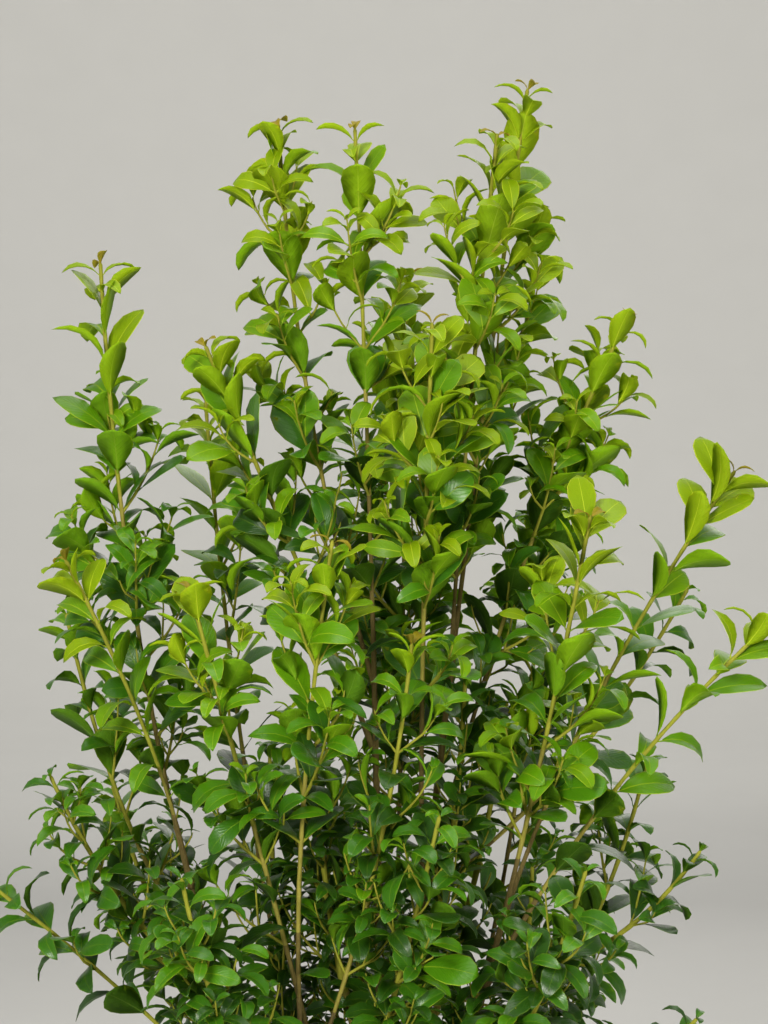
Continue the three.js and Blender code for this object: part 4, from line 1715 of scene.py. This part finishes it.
def shelf(name: str, meshes: Iterable[Mesh]) -> Collection:
    """Puts meshes into a collection outside the scene, for a node tree to take them from.

    Args:
        name: The collection's name.
        meshes: The meshes.

    Returns:
        The collection.
    """
    held = bpy.data.collections.new(name)
    for mesh in meshes:
        held.objects.link(bpy.data.objects.new(mesh.name, mesh))
    return held


def drop(held: Collection) -> None:
    """Removes a collection and the objects in it.

    Args:
        held: The collection.
    """
    for item in list(held.objects):
        bpy.data.objects.remove(item)
    bpy.data.collections.remove(held)


def furrows(
    rows: Iterable[tuple[float, int, float, float]], angles: np.ndarray, along: float, seed: float
) -> np.ndarray:
    """Works out how far furrows stand in or out round a limb.

    Args:
        rows: Each wave's depth, how many go round, its turn along the limb and with the seed.
        angles: The angles round the limb.
        along: The place along the limb.
        seed: The limb's own number.

    Returns:
        The share of the radius at each angle.
    """
    return sum(d * np.sin(n * angles + along * turn + seed * own) for d, n, turn, own in rows)


def around(radii: np.ndarray, angles: np.ndarray, u: np.ndarray, v: np.ndarray) -> np.ndarray:
    """Turns radii into a ring.

    Args:
        radii: The radius at each angle.
        angles: The angles from u towards v.
        u: The first direction.
        v: The second direction.

    Returns:
        The ring's points from its middle.
    """
    return np.outer(radii * np.cos(angles), u) + np.outer(radii * np.sin(angles), v)


def point_cloud_mesh(name: str, points: np.ndarray, values: dict[str, tuple[str, Sequence]]) -> Mesh:
    """Makes a mesh of loose points with attributes, in metres.

    Args:
        name: The mesh's name.
        points: The points, in millimetres.
        values: For each attribute, its type and its numbers.

    Returns:
        The mesh.
    """
    mesh = bpy.data.meshes.new(name)
    mesh.vertices.add(len(points))
    mesh.vertices.foreach_set("co", (points * MM).astype(np.float32).ravel())
    for key, (kind, numbers) in values.items():
        layer = mesh.attributes.new(key, kind, "POINT")
        flat = np.array(numbers, np.int32 if kind == "INT" else np.float32).ravel()
        layer.data.foreach_set("vector" if kind == "FLOAT_VECTOR" else "value", flat)
    mesh.update()
    return mesh


# Pieces


@dataclass
class Foliage:
    """The leaves and twigs of every mass."""

    shoots: dict[str, Shoot]
    twig_sides: int = 6
    most_leaves: int = 1500

    FACES: ClassVar = ("Upper", "Rib", "Under")

    def build(self) -> None:
        """Grows the masses and makes their pieces."""
        growth = Growth(self.shoots, Spaces(self.shoots))
        growth.grow()
        LOG.info("grown: %d leaves, %d twig runs", len(growth.leaves), len(growth.twigs))
        nodes = [f"foliage_{name}" for name in self.shoots]
        self._leaf_pieces(growth.leaves, nodes)
        self._twig_pieces(growth.twigs, nodes)

    def _leaf_tree(self) -> GeometryTree:
        """Makes the tree that sets a leaf shape on every point.

        Returns:
            The tree.
        """
        kinds = [("Shapes", "NodeSocketCollection")]
        kinds += [(name, "NodeSocketMaterial") for name in self.FACES]
        tree = GeometryTree("leaf_sprays", kinds)
        nodes = tree.nodes
        turn = nodes.add("FunctionNodeAxesToRotation", {"primary_axis": "Z", "secondary_axis": "Y"})
        nodes.put(turn, "Primary Axis", tree.attribute("face", "FLOAT_VECTOR"))
        nodes.put(turn, "Secondary Axis", tree.attribute("axis", "FLOAT_VECTOR"))
        last = tree.set_out(turn.outputs[0], tree.attribute("size"))
        for number, name in enumerate(self.FACES):
            chosen = nodes.add("FunctionNodeCompare", {"data_type": "INT", "operation": "EQUAL"})
            nodes.put(chosen, 2, tree.attribute("part", "INT"))
            nodes.put(chosen, 3, number)
            last = tree.coat(last, name, Selection=chosen.outputs[0])
        tree.finish(last)
        return tree

    def _shares(self, leaves: list[LeafSpot]) -> Iterable[tuple[str, Tint, list[LeafSpot]]]:
        """Splits the leaves into pieces of one tint and a fair size each.

        Args:
            leaves: All the leaves.

        Yields:
            A piece's name, its tint and its leaves.
        """
        for tint in Tint:
            spots = [leaf for leaf in leaves if leaf.tint is tint]
            for first in range(0, len(spots), self.most_leaves):
                number = first // self.most_leaves
                name = f"leaves_{tint.value}" + (f"_{number + 1}" if number else "")
                yield name, tint, spots[first : first + self.most_leaves]

    def _leaf_pieces(self, leaves: list[LeafSpot], nodes: Sequence[str]) -> None:
        """Makes one or more pieces of leaves for each tint.

        Args:
            leaves: All the leaves.
            nodes: The nodes that each piece stands for.
        """
        meshes = [shape.mesh(f"leaf_shape_{i:02d}") for i, shape in enumerate(LEAF_SHAPES)]
        for mesh in meshes:
            smooth(mesh)
        shapes = shelf("leaf_shapes", meshes)
        tree = self._leaf_tree()
        for name, tint, spots in self._shares(leaves):
            values = {
                "axis": ("FLOAT_VECTOR", [s.axis for s in spots]),
                "face": ("FLOAT_VECTOR", [s.face for s in spots]),
                "size": ("FLOAT", [s.length * MM for s in spots]),
                "shape": ("INT", [s.shape for s in spots]),
            }
            obj = put_object(name, point_cloud_mesh(name, np.array([s.root for s in spots]), values))
            look, label = LEAF_LOOKS[tint], f"leaf_{tint.value}"
            finishes = (
                LeafFinish(f"{label}_upper", look.upper, look.roughness, look.specular),
                # The rib's colour also lies along the margin as a painted edge highlight
                LeafFinish(f"{label}_rib", look.rib, roughness=0.5, specular=0.15, veins=0.1),
                LeafFinish(f"{label}_under", look.under, roughness=0.6, specular=0.06, veins=0.4),
            )
            inputs = {face: finish.material() for face, finish in zip(self.FACES, finishes)}
            tree.run(obj, {"Shapes": shapes, **inputs})
            declare(obj, nodes)
        drop(shapes)

    def _twig_tree(self) -> GeometryTree:
        """Makes the tree that turns every line into a tapering tube.

        Returns:
            The tree.
        """
        tree = GeometryTree("twig_tubes", [("Sides", "NodeSocketInt"), ("Finish", "NodeSocketMaterial")])
        nodes, start = tree.nodes, tree.start.outputs
        curve = nodes.add("GeometryNodeMeshToCurve", Mesh=start["Geometry"])
        ring = nodes.add("GeometryNodeCurvePrimitiveCircle", Resolution=start["Sides"], Radius=1.0)
        tube = nodes.add("GeometryNodeCurveToMesh", Curve=curve.outputs[0])
        nodes.fill(tube, Profile_Curve=ring.outputs[0], Fill_Caps=True, Scale=tree.attribute("thick"))
        last = nodes.add("GeometryNodeSetShadeSmooth", Geometry=tube.outputs[0]).outputs[0]
        tree.finish(tree.coat(last, "Finish"))
        return tree

    def _twig_pieces(self, twigs: list[TwigRun], nodes: Sequence[str]) -> None:
        """Makes one piece of stems and twigs for each age of wood.

        Args:
            twigs: All the stretches of stems and twigs.
            nodes: The nodes that each piece stands for.
        """
        tree = self._twig_tree()
        for wood in Wood:
            runs = [run for run in twigs if run.wood is wood]
            points = np.concatenate([np.array(run.points) for run in runs])
            radii = np.concatenate([np.array(run.radii) for run in runs]) * MM
            name = f"twigs_{wood.value}"
            mesh = point_cloud_mesh(name, points, {"thick": ("FLOAT", radii)})
            edges, first = [], 0
            for run in runs:
                edges += [(first + i, first + i + 1) for i in range(len(run.points) - 1)]
                first += len(run.points)
            mesh.edges.add(len(edges))
            mesh.edges.foreach_set("vertices", np.array(edges, np.int32).ravel())
            mesh.update()
            obj = put_object(name, mesh)
            tree.run(obj, {"Sides": self.twig_sides, "Finish": WOODS[wood].material()})
            declare(obj, nodes)


@dataclass
class Limbs:
    """The trunk and the boughs, with the relief of their bark, in millimetres."""

    shoots: dict[str, Shoot]
    ring_step: float = 4.5
    bough_sides: int = 14
    trunk_sides: int = 56
    trunk_rings: int = 44
    # A bough's collar and swollen nodes, each as its share of the radius and its length
    collar: tuple[float, float] = (0.35, 14)
    swelling: tuple[float, float] = (0.1, 2.6)
    node_step: float = 34
    # The share of the trunk's height where its head starts to round off, and how far it closes
    head: float = 0.86
    closing: float = 0.72

    BOUGH_FURROWS: ClassVar = ((0.035, 5, 0.03, 1), (0.03, 3, -0.11, 2), (0.02, 7, 0.31, 0))
    TRUNK_FURROWS: ClassVar = ((0.035, 11, 7, 0), (0.022, 17, -13, 0), (0.02, 5, 31, 0))

    def build(self) -> None:
        """Makes the limbs as one piece."""
        meshes = [self._trunk()]
        meshes += [self._bough(shoot) for shoot in self.shoots.values() if shoot.row.bare]
        joined = bmesh.new()
        for mesh in meshes:
            joined.from_mesh(mesh)
            bpy.data.meshes.remove(mesh)
        bmesh.ops.recalc_face_normals(joined, faces=joined.faces)
        mesh = baked("limbs", joined)
        smooth(mesh)
        mesh.materials.append(BARK_AND_PAINTED_SHADE.material())
        names = [f"bough_{name}" for name, shoot in self.shoots.items() if shoot.row.bare]
        declare(put_object("limbs", mesh), ["trunk", *names])

    @staticmethod
    def _rings(name: str, rings: list[np.ndarray]) -> Mesh:
        """Joins rings of points into a closed tube.

        Args:
            name: The mesh's name.
            rings: The rings, in millimetres.

        Returns:
            The mesh.
        """
        sides = len(rings[0])
        faces = []
        for i in range(len(rings) - 1):
            for j in range(sides):
                k = (j + 1) % sides
                faces.append((i * sides + j, i * sides + k, (i + 1) * sides + k, (i + 1) * sides + j))
        faces.append(tuple(reversed(range(sides))))
        last = (len(rings) - 1) * sides
        faces.append(tuple(range(last, last + sides)))
        return solid(name, np.concatenate(rings) * MM, faces)

    def _bough(self, shoot: Shoot) -> Mesh:
        """Makes one bough: a tapering tube with a collar, swollen nodes and shallow furrows.

        Args:
            shoot: The bough's shoot.

        Returns:
            The mesh.
        """
        path, bare = shoot.path, shoot.row.bare
        length = path.length * bare
        count = max(8, round(length / self.ring_step))
        angles = np.linspace(0, 2 * math.pi, self.bough_sides, endpoint=False)
        rings = []
        for i in range(count + 1):
            t = bare * i / count
            along = length * i / count
            _, u, v = path.frame(t)
            radius = shoot.bough_radius(t) * mix(1, STEM_SLIM, t / bare)
            radius *= 1 + self.collar[0] * math.exp(-along / self.collar[1])
            node = (along + 9 * shoot.seed) % self.node_step
            radius *= 1 + self.swelling[0] * math.exp(-((node - self.node_step / 2) / self.swelling[1]) ** 2)
            radii = radius * (1 + furrows(self.BOUGH_FURROWS, angles, along, shoot.seed))
            rings.append(path.point(t) + around(radii, angles, u, v))
        return self._rings(f"bough_{shoot.row.name}", rings)

    def _trunk(self) -> Mesh:
        """Makes the trunk: a flared, lobed foot, furrows, and a closed rounded head.

        Returns:
            The mesh.
        """
        angles = np.linspace(0, 2 * math.pi, self.trunk_sides, endpoint=False)
        rings = []
        for i in range(self.trunk_rings + 1):
            share = i / self.trunk_rings
            spread = TRUNK.flare * math.exp(-5 * share) * (1 + 0.35 * np.cos(TRUNK.lobes * angles))
            radius = mix(TRUNK.foot_radius, TRUNK.top_radius, share) + spread
            rounded = max(0.0, (share - self.head) / (1 - self.head))
            radii = radius * (1 + furrows(self.TRUNK_FURROWS, angles, share, 0))
            radii = radii * math.sqrt(1 - self.closing * rounded**2)
            rings.append(trunk_axis(share) + around(radii, angles, np.array([1, 0, 0]), np.array([0, 1, 0])))
        return self._rings("trunk", rings)


@dataclass
class NurseryPot:
    """The plain plastic pot."""

    sizes: PotSizes = POT
    sides: int = 144

    def build(self) -> None:
        """Makes the pot as one piece."""
        obj = put_object("nursery_pot", lathe("nursery_pot", self._profile(), self.sides))
        cutter = put_object("drain_cutter", self._cutter())
        cut = obj.modifiers.new("drains", "BOOLEAN")
        cut.operation = "DIFFERENCE"
        cut.solver = "EXACT"
        cut.object = cutter
        plain_mesh(obj)
        bpy.data.objects.remove(cutter)
        obj.data.materials.clear()
        obj.data.materials.append(PlasticFinish().material())
        obj.data.polygons.foreach_set("material_index", [0] * len(obj.data.polygons))
        smooth(obj.data)
        obj.data.set_sharp_from_angle(angle=math.radians(32))
        declare(obj, ["pot"])

    def _profile(self) -> list[tuple[float, float]]:
        """Draws the pot's section, from the middle of its underside to the middle of its floor.

        Returns:
            The radius and height of each point, in millimetres.
        """
        s = self.sizes
        step = s.height - s.band_height
        rim, band, foot, wall = s.rim_radius, s.band_radius, s.foot_radius, s.wall

        def side(z: float) -> float:
            """The wall's outer radius at a height."""
            return mix(foot, band, (z - 3) / (step - 3))

        outer = [(0, 0), (foot - 12, 0), (foot - 3, 0), (foot - 1, 0.6), (foot, 3), (side(14), 14)]
        for z in (step - 46, step - 40):
            outer += [(side(z + up) + out, z + up) for up, out in ((0, 0), (1, 0.8), (3, 0.8), (4, 0))]
        outer += [(side(step - 2), step - 2), (band, step), (rim - 2, step), (rim - 0.6, step + 0.6)]
        outer += [(rim, step + 2), (rim, s.height - 2), (rim - 0.6, s.height - 0.6), (rim - 2, s.height)]
        inner = [(rim - 4.4, s.height), (rim - 5.2, s.height - 0.8), (rim - 5.5, s.height - 2.5)]
        inner += [(rim - 5.5, step + wall + 1), (rim - 6.5, step + wall), (band - wall + 1, step + 1)]
        inner += [(band - wall, step - 1), (foot - wall, wall + 2), (foot - wall - 2, wall), (0, wall)]
        return outer + inner

    def _cutter(self) -> Mesh:
        """Makes the blocks that cut the drain slots.

        Returns:
            The mesh.
        """
        s = self.sizes
        block = Matrix.Diagonal((s.drain_depth * MM, s.drain_width * MM, s.drain_height * MM, 1))
        middle = Matrix.Translation((s.foot_radius * MM, 0, (s.drain_bottom + s.drain_height / 2) * MM))
        whole = bmesh.new()
        for i in range(s.drains):
            turn = Matrix.Rotation((i + 0.5) / s.drains * 2 * math.pi, 4, "Z")
            bmesh.ops.create_cube(whole, size=1, matrix=turn @ middle @ block)
        return baked("drain_cutter", whole)


@dataclass
class PottingMix:
    """The potting mix, with bark chips and pale grains on it."""

    sizes: PotSizes = POT
    sides: int = 120
    rings: int = 34
    chips: int = 1100
    grains: int = 260

    # The mix is flat round the trunk and rough from here out
    ROUGH: ClassVar = Span(28, 20)

    def build(self) -> None:
        """Makes the mix and what lies on it."""
        mesh = self._surface()
        smooth(mesh)
        crumbs = MixFinish("mix_crumbs", (0.012, 0.008, 0.006), (0.07, 0.043, 0.026))
        mesh.materials.append(crumbs.material())
        declare(put_object("potting_mix_top", mesh), ["potting_mix"])
        chip = MixFinish("bark_chip", (0.035, 0.019, 0.011), (0.17, 0.095, 0.05), 260.0, 0.85)
        grain = MixFinish("pale_grain", (0.42, 0.4, 0.36), (0.7, 0.69, 0.65), 500.0, 0.9)
        self._scatter("bark_chips", self.chips, (5, 12), self._chip_shapes(), chip, 1)
        self._scatter("pale_grains", self.grains, (2.2, 4.2), self._grain_shapes(), grain, 2)

    def _inner(self, z: float) -> float:
        """Works out how wide the mix is.

        Args:
            z: The height, in millimetres.

        Returns:
            Its radius there.
        """
        s = self.sizes
        share = (z - s.wall - 2) / (s.height - s.band_height - 1 - s.wall - 2)
        return mix(s.foot_radius - s.wall, s.band_radius - s.wall, share) - 0.5

    def _top(self, x: float, y: float, radius: float, edge: float) -> float:
        """Works out how high the mix's top is.

        Args:
            x: The place.
            y: The place.
            radius: Its distance from the middle.
            edge: The mix's radius.

        Returns:
            The height there, in millimetres.
        """
        lumps = 1.3 * math.sin(x * 0.19 + 1.3) * math.cos(y * 0.23) + 0.9 * math.sin(x * 0.41 - y * 0.37)
        lumps += 1.1 * (chance(round(x, 1), round(y, 1), 1) - 0.5)
        mound = 3.5 * math.exp(-((radius / 45) ** 2))
        dip = 5 * max(0.0, (radius - edge + 10) / 10)
        calm = self.ROUGH.share(radius)
        return self.sizes.soil_top - 1.6 + mound * 0.45 + lumps * calm * 0.8 - dip

    def _surface(self) -> Mesh:
        """Makes the closed body of the mix with its bumpy top.

        Returns:
            The mesh.
        """
        s, n = self.sizes, self.sides
        edge = self._inner(s.soil_top - 5)
        points = [(0.0, 0.0, self._top(0, 0, 0, edge) * MM)]
        for i in range(1, self.rings + 1):
            radius = edge * i / self.rings
            for x, y in (on_circle(radius, j, n) for j in range(n)):
                points.append((x * MM, y * MM, self._top(x, y, radius, edge) * MM))
        foot = self._inner(s.wall + 2)
        for radius, z in ((foot, s.wall + 3), (foot - 3, s.wall + 0.3)):
            for x, y in (on_circle(radius, j, n) for j in range(n)):
                points.append((x * MM, y * MM, z * MM))
        points.append((0.0, 0.0, (s.wall + 0.3) * MM))
        faces = [(0, 1 + j, 1 + (j + 1) % n) for j in range(n)]
        for i in range(self.rings + 1):
            a, b = 1 + i * n, 1 + (i + 1) * n
            faces += [(a + j, b + j, b + (j + 1) % n, a + (j + 1) % n) for j in range(n)]
        last = 1 + (self.rings + 1) * n
        faces += [(last + j, len(points) - 1, last + (j + 1) % n) for j in range(n)]
        return solid("potting_mix_top", points, faces)

    @staticmethod
    def _chip_shapes() -> list[Mesh]:
        """Makes four flat, split bark chips of length one.

        Returns:
            The meshes.
        """
        meshes = []
        for n in range(4):
            shape = bmesh.new()
            bmesh.ops.create_cube(shape, size=1)
            bmesh.ops.subdivide_edges(shape, edges=shape.edges, cuts=1)
            for i, vert in enumerate(shape.verts):
                vert.co.x *= 1 - 0.35 * chance(n, i, 1)
                vert.co.y *= 0.55 * (1 - 0.5 * chance(n, i, 2))
                vert.co.z *= 0.2 * (0.6 + 0.8 * chance(n, i, 3))
                vert.co.z += 0.1 * vert.co.x * vert.co.x * (1 if n % 2 else -1)
            meshes.append(baked(f"chip_{n}", shape))
        return meshes

    @staticmethod
    def _grain_shapes() -> list[Mesh]:
        """Makes three rough grains of size one.

        Returns:
            The meshes.
        """
        meshes = []
        for n in range(3):
            shape = bmesh.new()
            bmesh.ops.create_icosphere(shape, subdivisions=1, radius=0.5)
            for i, vert in enumerate(shape.verts):
                vert.co *= 0.75 + 0.5 * chance(n + 9, i, 1)
            meshes.append(baked(f"grain_{n}", shape))
        return meshes

    def _scatter(
        self, name: str, count: int, sizes: tuple[float, float], shapes: list[Mesh],
        finish: Finish, seed: int,
    ) -> None:
        """Scatters shapes over the mix.

        Args:
            name: The piece's name.
            count: How many.
            sizes: The least and greatest size, in millimetres.
            shapes: The shapes.
            finish: Their finish.
            seed: The seed of the scatter.
        """
        edge = self._inner(self.sizes.soil_top - 5)
        places, turns, lengths, picks = [], [], [], []
        for i in range(count):
            radius = edge * math.sqrt(mix(0.055, 0.93, chance(seed, i, 1)))
            angle = 2 * math.pi * chance(seed, i, 2)
            x, y = radius * math.cos(angle), radius * math.sin(angle)
            size = mix(*sizes, chance(seed, i, 3) ** 1.6)
            places.append((x, y, self._top(x, y, radius, edge) + size * 0.05))
            tilt = [(chance(seed, i, use) - 0.5) * 0.7 for use in (4, 5)]
            turns.append((*tilt, 2 * math.pi * chance(seed, i, 6)))
            lengths.append(size * MM)
            picks.append(int(chance(seed, i, 7) * len(shapes)))
        values = {"turn": ("FLOAT_VECTOR", turns), "size": ("FLOAT", lengths), "shape": ("INT", picks)}
        obj = put_object(name, point_cloud_mesh(name, np.array(places), values))
        held = shelf(name, shapes)
        self._tree(name).run(obj, {"Shapes": held, "Finish": finish.material()})
        drop(held)
        declare(obj, ["potting_mix"])

    @staticmethod
    def _tree(name: str) -> GeometryTree:
        """Makes the tree that sets a shape on every point.

        Args:
            name: The tree's name.

        Returns:
            The tree.
        """
        tree = GeometryTree(name, [("Shapes", "NodeSocketCollection"), ("Finish", "NodeSocketMaterial")])
        turn = tree.nodes.add("FunctionNodeEulerToRotation", Euler=tree.attribute("turn", "FLOAT_VECTOR"))
        tree.finish(tree.coat(tree.set_out(turn.outputs[0], tree.attribute("size")), "Finish"))
        return tree


@dataclass
class Studio:
    """The pale floor, the soft lights and the camera."""

    distance: float = 2.4
    tilt: float = math.radians(3.8)
    aim: Triple = (0.005, 0.0, 0.992)
    lens: float = 101.7

    # The floor is flat out to here, sweeps up with this radius and ends at this height, in metres
    FLAT: ClassVar = 5.5
    SWEEP: ClassVar = 3.5
    WALL: ClassVar = 6.0

    def build(self) -> None:
        """Makes the studio."""
        self._floor()
        self._camera()
        self._light("key", (-1.2, -3.1, 2.0), (0, 0, 0.9), 1.0, 118)
        self._light("fill", (2.1, -2.9, 0.9), (0, 0, 0.95), 2.0, 66)
        self._light("top", (0.2, 0.0, 3.7), (0, 0, 0.9), 2.0, 60)
        self._light("back", (0.9, 2.9, 2.4), (0, 0, 0.9), 2.0, 26)
        self._light("backdrop", (0, 3.4, 3.6), (0, 9.0, 3.4), 2.6, 150)
        world = bpy.data.worlds.new("studio")
        bpy.context.scene.world = world
        world.use_nodes = True
        background = world.node_tree.nodes["Background"]
        background.inputs[0].default_value = (1.0, 0.99, 0.97, 1.0)
        background.inputs[1].default_value = 0.29
        bpy.context.scene.view_settings.view_transform = "Standard"

    def _floor(self) -> None:
        """Makes a flat floor whose far edge sweeps up."""
        profile = [(0.0, 0.0), (4.0, 0.0), (self.FLAT, 0.0)]
        for a in np.linspace(0.12, math.pi / 2, 12):
            profile.append((self.FLAT + self.SWEEP * math.sin(a), self.SWEEP * (1 - math.cos(a))))
        profile.append((self.FLAT + self.SWEEP, self.WALL))
        mesh = lathe("floor", [(r / MM, z / MM) for r, z in profile], 96)
        mesh.flip_normals()
        smooth(mesh)
        mesh.materials.append(FloorFinish().material())
        put_object("floor", mesh)

    def _camera(self) -> None:
        """Sets up the camera at the photograph's angle."""
        data = bpy.data.cameras.new("camera")
        data.lens = self.lens
        aim = Vector(self.aim)
        place = aim + Vector((0, -math.cos(self.tilt), math.sin(self.tilt))) * self.distance
        bpy.context.scene.camera = facing(data, place, aim)

    @staticmethod
    def _light(name: str, place: Triple, aim: Triple, size: float, power: float) -> None:
        """Adds a square area light.

        Args:
            name: Its name.
            place: Where it is, in metres.
            aim: What it faces.
            size: Its side.
            power: In watts.
        """
        data = bpy.data.lights.new(name, "AREA")
        data.size = size
        data.energy = power
        data.color = (1.0, 0.97, 0.91)
        facing(data, Vector(place), Vector(aim))


def main() -> None:
    """Builds the studio, the pot and the plant."""
    logging.basicConfig(level=logging.INFO, format="%(name)s: %(message)s")
    Studio().build()
    shoots = laid_out()
    NurseryPot().build()
    PottingMix().build()
    Limbs(shoots).build()
    Foliage(shoots).build()


if __name__ == "__main__":
    main()
